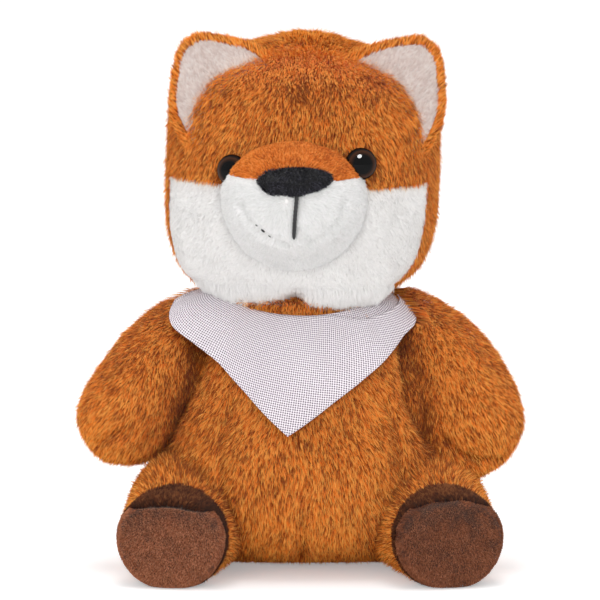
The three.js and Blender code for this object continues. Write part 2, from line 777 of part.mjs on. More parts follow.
function clothTop(angle) {
  const share = Math.abs(angle) / radians(bandanaReach);
  if (share < 1) return bandanaThroat + (bandanaShoulder - bandanaThroat) * share ** 2;
  const behind = (Math.abs(angle) - radians(bandanaReach)) / (Math.PI - radians(bandanaReach));
  return THREE.MathUtils.lerp(bandanaShoulder, bandanaNape, behind);
}

function clothHem(angle) {
  const corner = Math.sign(angle - bandanaTipAngle) * radians(bandanaReach);
  const strap = clothTop(angle) - bandanaStrap;
  if (Math.abs(angle) >= radians(bandanaReach)) return strap;
  const tip = Math.sin(bandanaTipAngle);
  const share = (Math.sin(angle) - tip) / (Math.sin(corner) - tip);
  return Math.min(strap, THREE.MathUtils.lerp(bandanaTipHeight, bandanaHemShoulder, share));
}

// How far the cloth lies from the body's axis: on the chest, lifted over the shoulders, in long soft folds
function clothReach(angle, height, share) {
  const turn = Math.abs(angle) / radians(bandanaReach);
  const [lift, crest, low] = clothLiftShares;
  const toCorner = THREE.MathUtils.smoothstep(turn, lift, crest);
  const pastCorner = THREE.MathUtils.smoothstep(turn, crest, low);
  const corner = angle < 0 ? bandanaOverRight : bandanaOverLeft;
  const standOff = THREE.MathUtils.lerp(corner * toCorner, bandanaStrapOff, pastCorner);
  const fold = bandanaFold * (1 + Math.cos(bandanaFolds * (angle - bandanaTipAngle))) / 2;
  return reachAt(bodyForm, height + floorCut, angle) + bandanaGap + standOff + fold * share;
}

function clothGeometry(innerMargin, outerMargin, edgeMargin) {
  const positions = [];
  const index = [];
  const rows = clothRowShares.length;
  for (let j = 0; j < clothSteps; j += 1) {
    const turn = 2 * Math.PI * j / clothSteps;
    const angle = THREE.MathUtils.euclideanModulo(bandanaTipAngle + turn + Math.PI, 2 * Math.PI) - Math.PI;
    const top = clothTop(angle) + edgeMargin;
    const hem = clothHem(angle) - edgeMargin;
    for (const share of clothRowShares) {
      const height = THREE.MathUtils.lerp(top, hem, share);
      const reach = clothReach(angle, height, share);
      for (const out of [-innerMargin, clothThickness + outerMargin]) {
        const far = reach + out;
        positions.push(bodyMiddle + far * Math.sin(angle), -far * Math.cos(angle), height);
      }
    }
  }
  const at = (j, i, face) => ((j % clothSteps) * rows + i) * 2 + face;
  const quad = (a, b, c, d) => index.push(a, b, c, a, c, d);
  for (let j = 0; j < clothSteps; j += 1) {
    for (let i = 0; i < rows - 1; i += 1) {
      quad(at(j, i, 1), at(j, i + 1, 1), at(j + 1, i + 1, 1), at(j + 1, i, 1));
      quad(at(j, i, 0), at(j + 1, i, 0), at(j + 1, i + 1, 0), at(j, i + 1, 0));
    }
    quad(at(j, 0, 0), at(j, 0, 1), at(j + 1, 0, 1), at(j + 1, 0, 0));
    quad(at(j, rows - 1, 1), at(j, rows - 1, 0), at(j + 1, rows - 1, 0), at(j + 1, rows - 1, 1));
  }
  const geometry = new THREE.BufferGeometry();
  geometry.setAttribute("position", new THREE.Float32BufferAttribute(positions, 3));
  geometry.setIndex(index);
  return geometry;
}

function buildBandana() {
  const cloth = cutClear(solidOf(clothGeometry(0, 0, 0)), [headRoom, stuffedForm(bodyForm, fit)]);
  addPiece(root, "bandana", cloth, "bandanaKnit");
  const reach = clothReach(Math.PI, bandanaNape - bandanaStrap / 2, 0) + clothThickness;
  const knotEnd = vector(bodyMiddle - knotLength / 2, reach + knotRadius / 2, bandanaNape - bandanaStrap);
  const knotForm = {
    shares: tailShares, length: knotLength, halfWidth: knotRadius, front: knotRadius, back: knotRadius,
    squareness: roundSquareness, steps: knotSteps, place: frameAt(knotEnd, xAxis, zAxis),
  };
  const obstacles = [headRoom, clothGeometry(runningFit, runningFit, fit), stuffedForm(bodyForm, fit)];
  addPiece(root, "bandana_knot", cutClear(solidOf(stuffedForm(knotForm)), obstacles), "bandanaKnit");
}

// Arms: skin open where the body trims it, and stuffing

function buildArms() {
  const cloth = clothGeometry(runningFit, clothThickness, runningFit);
  for (const [name, side] of Object.entries(sides)) {
    const joint = armJoint(side);
    const leg = stuffedForm(legForm(side), runningFit);
    const legs = anglesOf(legJoint(side)).map((degrees) => moved(leg, turnAbout(legJoint(side), degrees)));
    const obstacles = [
      ...sweptFrom(joint, bodyOutline),
      ...sweptFrom(joint, cloth, clothSweepStep),
      ...sweptFrom(joint, headRoom),
      ...legs,
    ];
    const form = armForm(side);
    addPiece(root, `arm_${name}_skin`, cutClear(skinOf(form), obstacles), "orangePlush");
    addPiece(root, `arm_${name}_stuffing`, cutClear(stuffingOf(form), obstacles), "stuffing");
  }
}

buildHead();
buildMuzzle();
buildFace();
buildEars();
buildBody();
buildLegs();
buildTail();
buildBandana();
buildArms();

export default root;
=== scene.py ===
import math

import bpy
import numpy as np
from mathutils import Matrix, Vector


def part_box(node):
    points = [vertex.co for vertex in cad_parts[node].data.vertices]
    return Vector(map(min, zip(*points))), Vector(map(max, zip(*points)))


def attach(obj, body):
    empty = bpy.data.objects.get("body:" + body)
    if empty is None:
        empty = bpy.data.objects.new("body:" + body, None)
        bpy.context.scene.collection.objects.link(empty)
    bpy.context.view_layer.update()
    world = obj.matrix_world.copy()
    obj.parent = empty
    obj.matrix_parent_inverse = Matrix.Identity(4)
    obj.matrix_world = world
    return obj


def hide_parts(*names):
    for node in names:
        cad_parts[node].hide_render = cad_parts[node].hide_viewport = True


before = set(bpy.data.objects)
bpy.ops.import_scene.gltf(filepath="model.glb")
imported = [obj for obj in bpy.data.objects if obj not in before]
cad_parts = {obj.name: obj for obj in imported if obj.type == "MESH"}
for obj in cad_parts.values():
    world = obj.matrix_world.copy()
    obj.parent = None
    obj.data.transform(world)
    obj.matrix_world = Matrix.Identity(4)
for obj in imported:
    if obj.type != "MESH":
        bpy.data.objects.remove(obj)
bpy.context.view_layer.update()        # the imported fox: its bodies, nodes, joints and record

# Sitting plush fox with a bandana. Every table and size below is in millimetres; left and right are the
# fox's own.

mm = 0.001
xAxis, zAxis, ahead = np.array([1.0, 0, 0]), np.array([0, 0, 1.0]), np.array([0, -1.0, 0])
picture = {"middle": 300, "ground": 561, "mmPerPixel": 0.375, "elevation": 8, "lineStep": 9}

# Helpers for whole arrays of vectors


def unit(vectors):
    return vectors / np.maximum(np.linalg.norm(vectors, axis=-1, keepdims=True), 1e-9)


def smoothStep(value, low, high):
    t = np.clip((value - low) / (high - low), 0, 1)
    return t * t * (3 - 2 * t)


# A turned frame: local Z runs along, local -Y looks to the front
def frameAt(origin, along, front):
    z = unit(np.array(along, float))
    x = -unit(np.cross(front, z))
    place = np.eye(4)
    place[:3, :4] = np.column_stack([x, np.cross(z, x), z, origin])
    return place


noiseTable = np.random.default_rng(7).uniform(-1, 1, (65536, 3))


# A random vector for each cell of a lattice: its three counts and a seed are hashed with primes into the
# table
def cellNoise(cell, seed=0):
    x, y, z = cell.T
    return noiseTable[(x * 73856093 ^ y * 19349663 ^ z * 83492791 ^ seed * 2654435) & (len(noiseTable) - 1)]


# The random vectors of the eight lattice corners round a point are blended with a smooth step, so each
# point gets three soft random values from -1 to 1
def softNoise(points, scale, seed=0):
    spot = points / scale
    cell = np.floor(spot).astype(np.int64)
    share = spot - cell
    share = share * share * (3 - 2 * share)
    total = np.zeros((len(points), 3))
    for corner in np.ndindex(2, 2, 2):
        weight = np.prod(np.where(corner, share, 1 - share), axis=1)
        total += cellNoise(cell + corner, seed) * weight[:, None]
    return total


# Stuffed forms, near to the frame's solids: shares of length, half width, front depth and back depth, and
# the size of each. The row "round" stands in for those that aren't given. The muzzle's front is its lower
# side

body = {
    "along": [0, 0.02, 0.07, 0.15, 0.27, 0.42, 0.58, 0.72, 0.84, 0.93, 1],
    "width": [0.56, 0.7, 0.84, 0.93, 1, 0.99, 0.93, 0.86, 0.77, 0.64, 0.3],
    "front": [0.06, 0.2, 0.53, 0.83, 0.97, 1, 0.96, 0.89, 0.8, 0.66, 0.3],
    "back": [0.55, 0.7, 0.85, 0.95, 1, 0.97, 0.9, 0.82, 0.73, 0.62, 0.3],
    "size": [106, 56, 53, 49], "squareness": 2.15,
}
head = {
    "along": [0, 0.03, 0.08, 0.16, 0.28, 0.42, 0.56, 0.7, 0.82, 0.91, 0.97, 1],
    "width": [0.24, 0.5, 0.71, 0.88, 0.965, 0.985, 0.985, 0.97, 0.88, 0.67, 0.33, 0.09],
    "front": [0.28, 0.56, 0.78, 0.9, 0.97, 1, 1, 0.96, 0.88, 0.73, 0.48, 0.2],
    "back": [0.2, 0.42, 0.63, 0.81, 0.94, 0.99, 1, 0.96, 0.85, 0.67, 0.44, 0.2],
    "size": [100.4, 51, 44, 46], "squareness": 2.45,
}
muzzle = {
    "along": [0, 0.2, 0.42, 0.6, 0.76, 0.88, 0.96, 1],
    "width": [1.08, 1.04, 0.99, 0.91, 0.78, 0.6, 0.37, 0.14],
    "front": [1.7, 1.52, 1.3, 1.06, 0.87, 0.67, 0.42, 0.16],
    "back": [0.82, 0.9, 0.96, 0.94, 0.82, 0.63, 0.4, 0.15],
    "size": [46, 27, 20.3, 22], "squareness": 2,
}
arm = {
    "along": [0, 0.05, 0.13, 0.26, 0.43, 0.6, 0.75, 0.87, 0.95, 1],
    "round": [0.24, 0.46, 0.68, 0.86, 0.96, 1, 0.96, 0.8, 0.54, 0.2],
    "straightAt": 0.72, "squareness": 2,
}
arms = {
    "left": {"size": [74, 20.2, 18.5, 15.5], "across": 37.8, "fall": 60.5, "bow": 13,
             "width": [0.14, 0.33, 0.51, 0.74, 0.92, 1, 1.02, 0.94, 0.72, 0.3]},
    "right": {"size": [72.3, 17.8, 18.5, 15.5], "across": 40.6, "fall": 56, "bow": -2,
              "width": [0.16, 0.37, 0.57, 0.8, 0.96, 1.01, 1.02, 0.91, 0.62, 0.2]},
}
leg = {
    "along": [0, 0.08, 0.2, 0.36, 0.52, 0.68, 0.82, 0.92, 0.975, 1],
    "width": [0.5, 0.84, 1.05, 1.1, 1.06, 0.99, 0.98, 0.975, 0.91, 0.74],
    "front": [0.55, 0.84, 1.02, 1.04, 0.9, 0.68, 0.6, 0.57, 0.51, 0.38],
    "back": [0.5, 0.8, 0.95, 1, 1, 1, 1, 0.99, 0.93, 0.78],
    "size": [58, 20.1, 26, 19], "squareness": 2.08,
}
tail = {
    "along": [0, 0.06, 0.18, 0.34, 0.5, 0.66, 0.8, 0.9, 0.97, 1],
    "round": [0.5, 0.62, 0.78, 0.94, 1, 0.96, 0.8, 0.58, 0.34, 0.14],
    "size": [62, 15, 15, 15], "squareness": 2,
}
ear = {
    "along": [0, 0.2, 0.4, 0.58, 0.74, 0.87, 0.95, 1],
    "width": [1, 1, 0.95, 0.8, 0.6, 0.41, 0.27, 0.13],
    "front": [1, 1, 0.97, 0.92, 0.82, 0.66, 0.46, 0.2],
    "back": [1, 1, 0.98, 0.94, 0.85, 0.7, 0.5, 0.22],
    "squareness": 2,
}
ears = {
    "left": {"side": 32, "ahead": 20.5, "base": 76.5, "splay": 34.6, "yaw": 5, "lean": 14.5,
             "size": [36, 22.6, 4, 4.5]},
    "right": {"side": 27.4, "ahead": 26.4, "base": 78.4, "splay": 37, "yaw": -3, "lean": 14,
              "size": [33.4, 22.8, 4, 4.5]},
}
stance = {
    "bodyMiddle": 2.2, "floorCut": 0.5,
    "neck": [0.4, 1, 100], "headTurn": -5, "headLean": 1.2, "jaw": [-0.8, 0, -1.6], "jawLean": 0.5,
    "muzzle": [0.3, -26, 42.5],
    "earRoot": 9,
    "shoulder": [-6, 97], "armForward": 13, "armRoot": 6,
    "hip": [40.8, -5.5, 18.5], "legSplay": {"left": 13.5, "right": 10},
    "tail": [39, 21], "tailRise": 60,
}
sides = {"left": 1, "right": -1}


def turnedBy(axis, degrees):
    c, s = math.cos(math.radians(degrees)), math.sin(math.radians(degrees))
    place = np.eye(4)
    a, b = [(1, 2), (2, 0), (0, 1)][axis]
    place[a, a], place[a, b], place[b, a], place[b, b] = c, -s, s, c
    return place


def shiftedBy(offset):
    place = np.eye(4)
    place[:3, 3] = offset
    return place


headPlace = shiftedBy(stance["neck"]) @ turnedBy(1, stance["headLean"]) @ turnedBy(2, stance["headTurn"])


def placedForm(shares, place, **more):
    length, halfWidth, front, back = shares["size"]
    rows = {key: shares.get(key, shares.get("round")) for key in ("width", "front", "back")}
    sizes = {"length": length, "halfWidth": halfWidth, "depths": (front, back)}
    return {**shares, **rows, **sizes, "place": place, "dents": [], **more}


def armPlace(name):
    side = sides[name]
    fall, forward = math.radians(arms[name]["fall"]), math.radians(stance["armForward"])
    along = unit(np.array([side * math.cos(fall), -math.sin(forward), -math.sin(fall)]))
    shoulder = np.array([stance["bodyMiddle"] + side * arms[name]["across"], *stance["shoulder"]])
    return frameAt(shoulder - along * stance["armRoot"], along, ahead)


def legPlace(name):
    side, splay = sides[name], math.radians(stance["legSplay"][name])
    across, behind, height = stance["hip"]
    hip = [stance["bodyMiddle"] + side * across, behind, height]
    return frameAt(hip, [side * math.sin(splay), -math.cos(splay), 0], zAxis)


def earPlace(name):
    side, own = sides[name], ears[name]
    splay, yaw, lean = (math.radians(own[key]) for key in ("splay", "yaw", "lean"))
    along = unit(np.array([side * math.sin(splay), math.sin(lean), math.cos(splay)]))
    base = np.array([side * own["side"], -own["ahead"], own["base"]])
    front = [side * math.sin(yaw), -math.cos(yaw), 0]
    return headPlace @ frameAt(base - along * stance["earRoot"], along, front)


def tailPlace():
    rise = math.radians(stance["tailRise"])
    return frameAt([stance["bodyMiddle"], *stance["tail"]], [0, math.cos(rise), math.sin(rise)], zAxis)


forms = {
    "body": placedForm(body, shiftedBy([stance["bodyMiddle"], 0, -stance["floorCut"]])),
    "head": placedForm(head, headPlace @ shiftedBy(stance["jaw"]) @ turnedBy(1, stance["jawLean"])),
    "muzzle": placedForm(muzzle, headPlace @ frameAt(stance["muzzle"], ahead, -zAxis), rides="head"),
    "tail": placedForm(tail, tailPlace()),
}
for sideName in sides:
    forms["arm_" + sideName] = placedForm({**arm, **arms[sideName]}, armPlace(sideName))
    forms["leg_" + sideName] = placedForm(leg, legPlace(sideName))
    forms["ear_" + sideName] = placedForm({**ear, "size": ears[sideName]["size"]}, earPlace(sideName))


# The table of a form's half profile, closed by a middle point at each end, is carried through a cubic curve
# by its chord length. Each row is length along, half width, front depth and back depth
def profileOf(form, rows):
    columns = [form["along"], form["width"], form["front"], form["back"]]
    sizes = [form["length"], form["halfWidth"], *form["depths"]]
    table = np.stack([np.array(column) * size for column, size in zip(columns, sizes)], 1)
    ends = np.array([[0, 0, 0, 0], [form["length"], 0, 0, 0]], float)
    mirror = np.array([1, -1, -1, -1])
    table = np.vstack([table[0] * mirror, ends[0], table, ends[1], table[-1] * mirror])
    step = np.maximum(np.linalg.norm(np.diff(table, axis=0), axis=1), 1e-6)[:, None]
    slope = np.diff(table, axis=0) / step
    tangent = (slope[:-1] * step[1:] + slope[1:] * step[:-1]) / (step[:-1] + step[1:])
    reach = np.concatenate([[0], np.cumsum(step[:, 0])])
    q = np.linspace(reach[1], reach[-2], rows)
    i = np.clip(np.searchsorted(reach, q, "right") - 1, 1, len(reach) - 3)
    span = (reach[i + 1] - reach[i])[:, None]
    u = (q - reach[i])[:, None] / span
    start, leave, arrive = table[i], tangent[i - 1] * span, tangent[i] * span
    curve = start + u * leave + u ** 2 * (3 * (table[i + 1] - start) - 2 * leave - arrive)
    curve += u ** 3 * (2 * (start - table[i + 1]) + leave + arrive)
    curve[:, 1:] = np.maximum(curve[:, 1:], 0)
    return curve


# Outward normals from the differences along both ways of the grid; a pole takes the mean of its next row
def gridNormals(points):
    across = np.roll(points, -1, 1) - np.roll(points, 1, 1)
    along = np.gradient(points, axis=0)
    normals = unit(np.cross(across, along))
    normals[0] = unit(normals[1].mean(0))
    normals[-1] = unit(normals[-2].mean(0))
    return normals


# Superellipse sections along the form's own Z: width times the signed power of the cosine and depth times
# that of the sine. The middle line is a parabola that crosses the straight one at the root and at
# straightAt. The sections are put in place, then pressed in or out by the form's own dents
def surfaceOf(form, rows, columns):
    profile = profileOf(form, rows)
    angle = np.linspace(0, 2 * np.pi, columns, endpoint=False)
    power = 2 / form["squareness"]
    c, s = (np.sign(f(angle)) * np.abs(f(angle)) ** power for f in (np.cos, np.sin))
    z, width, front, back = (profile[:, k:k + 1] for k in range(4))
    share = z / form["length"]
    middle = form.get("bow", 0) * share * (share - form.get("straightAt", 0))
    local = np.stack([middle + width * c, np.where(s < 0, front, back) * s, z + 0 * c], 2)
    points = placedBy(form, local)
    normals = gridNormals(points)
    for dent in form["dents"]:
        points = points - normals * dentDepth(points, dent)[..., None]
    normals = gridNormals(points)
    return points, normals


# Depth of a dent falls off from its line as a bell curve of the distance to the nearest piece of the line
def dentDepth(points, dent):
    flat = points.reshape(-1, 3)
    line = np.array(dent["line"], float)
    nearest = np.full(len(flat), 1e9)
    for a, b in zip(line[:-1], line[1:]):
        share = np.clip((flat - a) @ (b - a) / max((b - a) @ (b - a), 1e-9), 0, 1)
        nearest = np.minimum(nearest, np.linalg.norm(flat - a - share[:, None] * (b - a), axis=1))
    return (dent["depth"] * np.exp(-(nearest / dent["spread"]) ** 2)).reshape(points.shape[:-1])


def localTo(form, points):
    return (points - form["place"][:3, 3]) @ form["place"][:3, :3]


def placedBy(form, local):
    return local @ form["place"][:3, :3].T + form["place"][:3, 3]


# Half width, front depth and back depth of a form at a length along it, from its fine profile
def sectionAt(form, z):
    if "fine" not in form:
        fine = profileOf(form, 400)
        fine[:, 0] = np.maximum.accumulate(fine[:, 0]) + np.arange(400) * 1e-7
        form["fine"] = np.maximum(fine, 1e-3)
    return [np.interp(z, form["fine"][:, 0], form["fine"][:, k]) for k in (1, 2, 3)]


# How deep a point lies in a form: one less its superellipse radius, times the smaller half size
def depthIn(form, points):
    x, y, z = localTo(form, points).T
    width, front, back = sectionAt(form, z)
    depth = np.where(y < 0, front, back)
    power = form["squareness"]
    radius = (np.abs(x / width) ** power + np.abs(y / depth) ** power) ** (1 / power)
    return np.minimum((1 - radius) * np.minimum(width, depth), np.minimum(z, form["length"] - z))


# The length along a form at which its surface passes over a place of its section, by halving the range
def lengthOver(form, x, y):
    low, high = np.zeros_like(x), np.full_like(x, form["length"])
    power = form["squareness"]
    for _ in range(30):
        z = (low + high) / 2
        width, front, back = sectionAt(form, z)
        radius = np.abs(x / width) ** power + np.abs(y / np.where(y < 0, front, back)) ** power
        low, high = np.where(radius < 1, z, low), np.where(radius < 1, high, z)
    return (low + high) / 2


# The point of a form's front that is seen at a pixel of the photograph, from a long way off
def seenAt(formName, pixelX, pixelY):
    form = forms[formName]
    if "seen" not in form:
        points, normals = surfaceOf({**form, "dents": []}, 200, 260)
        form["seen"] = points[normals[..., 1] < -0.05]
    tilt = math.radians(picture["elevation"])
    across = (pixelX - picture["middle"]) * picture["mmPerPixel"]
    up = (picture["ground"] - pixelY) * picture["mmPerPixel"]
    seen = form["seen"]
    away = np.hypot(seen[:, 0] - across, seen[:, 2] * math.cos(tilt) + seen[:, 1] * math.sin(tilt) - up)
    return seen[np.argmin(away)]


# A line of pixels laid on a form, with a point about every few pixels so that it follows the swelling
def seenLine(formName, pixels):
    line = []
    for (x0, y0), (x1, y1) in zip(pixels[:-1], pixels[1:]):
        count = max(2, round(math.hypot(x1 - x0, y1 - y0) / picture["lineStep"]) + 1)
        shares = [k / (count - 1) for k in range(count)]
        line += [seenAt(formName, x0 + (x1 - x0) * share, y0 + (y1 - y0) * share) for share in shares]
    return line


# Creases that the stuffing and the seams leave: the form, a depth, which swells the form where it is below
# nought, a spread, and the line's pixels on the photograph
creases = {
    "smileRight": ("muzzle", 1.1, 2.2, [(243, 208), (250, 223), (264, 236), (285, 246)]),
    "smileLeft": ("muzzle", 0.8, 2.2, [(312, 243), (328, 234), (339, 220), (343, 205)]),
    "mouthLine": ("muzzle", 1.0, 1.6, [(296, 196), (294, 240)]),
    "muzzleRoot": ("head", -4.5, 9,
        [(226, 214), (230, 238), (252, 264), (293, 274), (334, 264), (360, 238), (366, 214)]),
    "cheekRight": ("head", -2.6, 11, [(187, 238), (192, 266)]),
    "chinRight": ("head", -3.6, 8, [(225, 292), (268, 299)]),
    "chinLeft": ("head", -3.2, 8, [(318, 299), (368, 292)]),
    "chinTuck": ("head", 0.8, 2.6, [(294, 262), (295, 276)]),
    "chinCleft": ("head", 4.8, 4.2, [(295, 290), (296, 308)]),
    "throat": ("body", -3.2, 2.8, [(215, 303), (250, 307), (290, 308), (330, 303)]),
    "bellyRight": ("body", 1.8, 2.2, [(232, 400), (222, 440), (222, 480), (234, 530)]),
    "bellyLeft": ("body", 1.8, 2.2, [(384, 400), (398, 440), (399, 480), (388, 530)]),
    "handRight": ("arm_right", 1.3, 2.4, [(97, 441), (112, 433), (128, 430)]),
    "handLeft": ("arm_left", 2.2, 2.2, [(443, 438), (456, 450), (475, 459), (500, 456)]),
    "armpitRight": ("body", 5.5, 3.8, [(205, 344), (198, 370), (183, 403), (166, 432)]),
    "armpitLeft": ("body", 7, 3.8, [(402, 335), (406, 365), (412, 398), (428, 434)]),
    "bellyMiddle": ("body", 2.6, 2.0, [(304, 486), (303, 556)]),
}
for formName, depth, spread, pixels in creases.values():
    forms[formName]["dents"].append({"line": seenLine(formName, pixels), "depth": depth, "spread": spread})
print("forms placed:", len(forms))

# Bandana: a strap behind that widens to the hanging triangle in front. Angles turn about the body's own
# axis from the throat, and the fox's left is positive

bandana = {
    "tipHeight": 55.5, "tipSide": -4.3, "throat": 98, "shoulder": 106, "nape": 103, "hemShoulder": 95.5,
    "strap": 5.5, "strapOff": 3.5, "reach": 72, "overRight": 15.5, "overLeft": 3.6, "fold": 1.5,
    "folds": 9, "gap": 1.8, "lift": (0.5, 1, 1.4), "thickness": 0.5, "seamGap": 160, "curlFrom": 0.24,
    "curl": 70, "curlRound": 1.2, "furGap": 0.7, "furCover": 6, "furEdge": 0.4, "furDeep": 6,
    "foldFrom": 10, "foldTo": 84, "foldIn": 0.5, "foldOut": 0.35, "foldDrop": 3.6, "foldDepth": 6,
    "foldRoll": 0.9, "layerRise": 0.6, "layerEnd": 0.35, "layerGap": 1.1, "layerPast": 0.05,
    "hemWave": 0.5, "hemWaveLength": 9, "hemWaveReach": 50, "rollRows": 4, "rows": 40, "columns": 360,
    "layerRows": 12, "layerColumns": 90, "flat": (0.34, 0.05), "flatArea": 0.0055,
}
tipAngle = math.asin((bandana["tipSide"] - stance["bodyMiddle"]) / forms["body"]["depths"][0])
reachAngle = math.radians(bandana["reach"])


# Height of the top edge: it rises with the square of the angle to the shoulder, then runs level to the nape
def clothTop(angle):
    share = np.abs(angle) / reachAngle
    behind = np.clip((np.abs(angle) - reachAngle) / (np.pi - reachAngle), 0, 1)
    front = bandana["throat"] + (bandana["shoulder"] - bandana["throat"]) * share ** 2
    return np.where(share < 1, front, bandana["shoulder"] + (bandana["nape"] - bandana["shoulder"]) * behind)


# Height of the hem: straight slopes from the tip to the corners, curled up there and joined softly to the
# strap
def clothHem(angle):
    corner = np.sign(angle - tipAngle + 1e-9) * reachAngle
    strap = clothTop(angle) - bandana["strap"]
    share = (np.sin(angle) - math.sin(tipAngle)) / (np.sin(corner) - math.sin(tipAngle))
    slope = bandana["tipHeight"] + (bandana["hemShoulder"] - bandana["tipHeight"]) * share
    past = np.maximum(np.abs(angle) - reachAngle + bandana["curlFrom"], 0)
    slope = slope + bandana["curl"] * past ** 2
    blend = bandana["curlRound"]
    return -blend * np.logaddexp(-strap / blend, -slope / blend)


# How far out the cloth hangs: the radius of the body's superellipse section at a height, met at an angle, and
# a gap, a stand-off that steps in and out over the shoulder, and a cosine of long folds that grows to the hem
def clothReach(angle, height, share):
    form = forms["body"]
    width, front, back = sectionAt(form, height + stance["floorCut"])
    power = form["squareness"]
    depth = np.abs(np.cos(angle)) / np.where(np.cos(angle) > 0, front, back)
    reach = ((np.abs(np.sin(angle)) / width) ** power + depth ** power) ** (-1 / power)
    turn = np.abs(angle) / reachAngle
    low, crest, past = bandana["lift"]
    toCorner, pastCorner = smoothStep(turn, low, crest), smoothStep(turn, crest, past)
    corner = np.where(angle < 0, bandana["overRight"], bandana["overLeft"]) * toCorner
    standOff = corner + (bandana["strapOff"] - corner) * pastCorner
    fold = bandana["fold"] * (1 + np.cos(bandana["folds"] * (angle - tipAngle))) / 2
    return reach + bandana["gap"] + standOff + fold * share


def clothPoint(angle, height, reach):
    return np.stack([stance["bodyMiddle"] + reach * np.sin(angle), -reach * np.cos(angle), height], -1)


# Full along the folded part of the top edge, and running out at both ends of it
def foldShare(angle):
    low, high = math.radians(bandana["foldFrom"]), math.radians(bandana["foldTo"])
    rising = smoothStep(angle, low, low + bandana["foldIn"])
    return rising * (1 - smoothStep(angle, high, high + bandana["foldOut"]))


# How far a point lies inside the cloth's outline, up to its top edge or down to its hem
def clothCover(points):
    angle = np.arctan2(points[..., 0] - stance["bodyMiddle"], -points[..., 1])
    return np.minimum(clothTop(angle) - points[..., 2], points[..., 2] - clothHem(angle))


# Hairs that would stand through the cloth are drawn in to lie under it
def pressUnder(points):
    side, ahead = points[..., 0] - stance["bodyMiddle"], points[..., 1]
    angle, reach, height = np.arctan2(side, -ahead), np.hypot(side, ahead), points[..., 2]
    top = clothTop(angle)
    share = np.clip((top - height) / (top - clothHem(angle)), 0, 1)
    room = clothReach(angle, height, share) - bandana["furGap"]
    near = (clothCover(points) > -bandana["furEdge"]) & (reach < room + bandana["furDeep"])
    over = near & (reach > room)
    scale = np.where(over, room / np.maximum(reach, 1), 1)
    return np.stack([stance["bodyMiddle"] + side * scale, ahead * scale, height], -1)


# Finishes


def addNode(tree, kind, values=None, **settings):
    made = tree.nodes.new("ShaderNode" + kind)
    for key, value in settings.items():
        setattr(made, key, value)
    for key, value in (values or {}).items():
        if isinstance(value, bpy.types.NodeSocket):
            tree.links.new(value, made.inputs[key])
        else:
            made.inputs[key].default_value = value
    return made


def rgb(red, green, blue):
    return tuple(c / 12.92 if c <= 0.04045 else ((c + 0.055) / 1.055) ** 2.4
                 for c in (red / 255, green / 255, blue / 255)) + (1.0,)


def newGroup(name, inputs, outputs):
    group = bpy.data.node_groups.new(name, "ShaderNodeTree")
    for way, labels in (("INPUT", inputs), ("OUTPUT", outputs)):
        for label, kind in labels.items():
            group.interface.new_socket(label, in_out=way, socket_type="NodeSocket" + kind)
    return group, group.nodes.new("NodeGroupInput"), group.nodes.new("NodeGroupOutput")


def mixColour(tree, factor, first, second, blend="MIX"):
    made = addNode(tree, "Mix", {"Factor": factor}, data_type="RGBA", blend_type=blend)
    for socket, value in ((made.inputs[6], first), (made.inputs[7], second)):
        if isinstance(value, bpy.types.NodeSocket):
            tree.links.new(value, socket)
        else:
            socket.default_value = value
    return made.outputs[2]


# Colour of a hair: its tone picks between three dyes, its root has painted shade and its tip is lighter
def makePileGroup():
    inputs = {"Strand": "Vector", "Dark": "Color", "Middle": "Color", "Light": "Color", "Root Shade": "Float",
              "Tip Light": "Float"}
    group, given, wanted = newGroup("pileDye", inputs, {"Colour": "Color"})
    parts = addNode(group, "SeparateXYZ", {"Vector": given.outputs["Strand"]})
    tone, along = parts.outputs["X"], parts.outputs["Y"]
    low = addNode(group, "MapRange", {"Value": tone, "From Max": 0.5})
    high = addNode(group, "MapRange", {"Value": tone, "From Min": 0.5})
    colour = mixColour(group, low.outputs[0], given.outputs["Dark"], given.outputs["Middle"])
    colour = mixColour(group, high.outputs[0], colour, given.outputs["Light"])
    tip = addNode(group, "MapRange", {"Value": along, "From Min": 0.45, "To Max": given.outputs["Tip Light"]})
    colour = mixColour(group, tip.outputs[0], colour, given.outputs["Light"])
    # Painted shade: the colour is multiplied down towards the root
    root = given.outputs["Root Shade"]
    shade = addNode(group, "MapRange", {"Value": along, "From Max": 0.6, "To Min": root})
    colour = mixColour(group, 1.0, colour, shade.outputs[0], "MULTIPLY")
    group.links.new(colour, wanted.inputs["Colour"])
    return group


# Knitted backing under the pile: rows of fine loops with a little uneven dye
def makeBackingGroup():
    inputs = {"Place": "Vector", "Dark": "Color", "Light": "Color"}
    group, given, wanted = newGroup("backingKnit", inputs, {"Colour": "Color", "Height": "Float"})
    blotch = addNode(group, "TexNoise", {"Vector": given.outputs["Place"], "Scale": 260.0, "Detail": 3.0})
    loops = addNode(group, "TexVoronoi", {"Vector": given.outputs["Place"], "Scale": 1100.0})
    colour = mixColour(group, blotch.outputs["Fac"], given.outputs["Dark"], given.outputs["Light"])
    group.links.new(colour, wanted.inputs["Colour"])
    group.links.new(loops.outputs["Distance"], wanted.inputs["Height"])
    return group


pileGroup, backingGroup = makePileGroup(), makeBackingGroup()


def newMaterial(name, **shader):
    material = bpy.data.materials.new(name)
    material.use_nodes = True
    principled = material.node_tree.nodes["Principled BSDF"]
    for key, value in shader.items():
        principled.inputs[key.replace("_", " ")].default_value = value
    return material, material.node_tree, principled


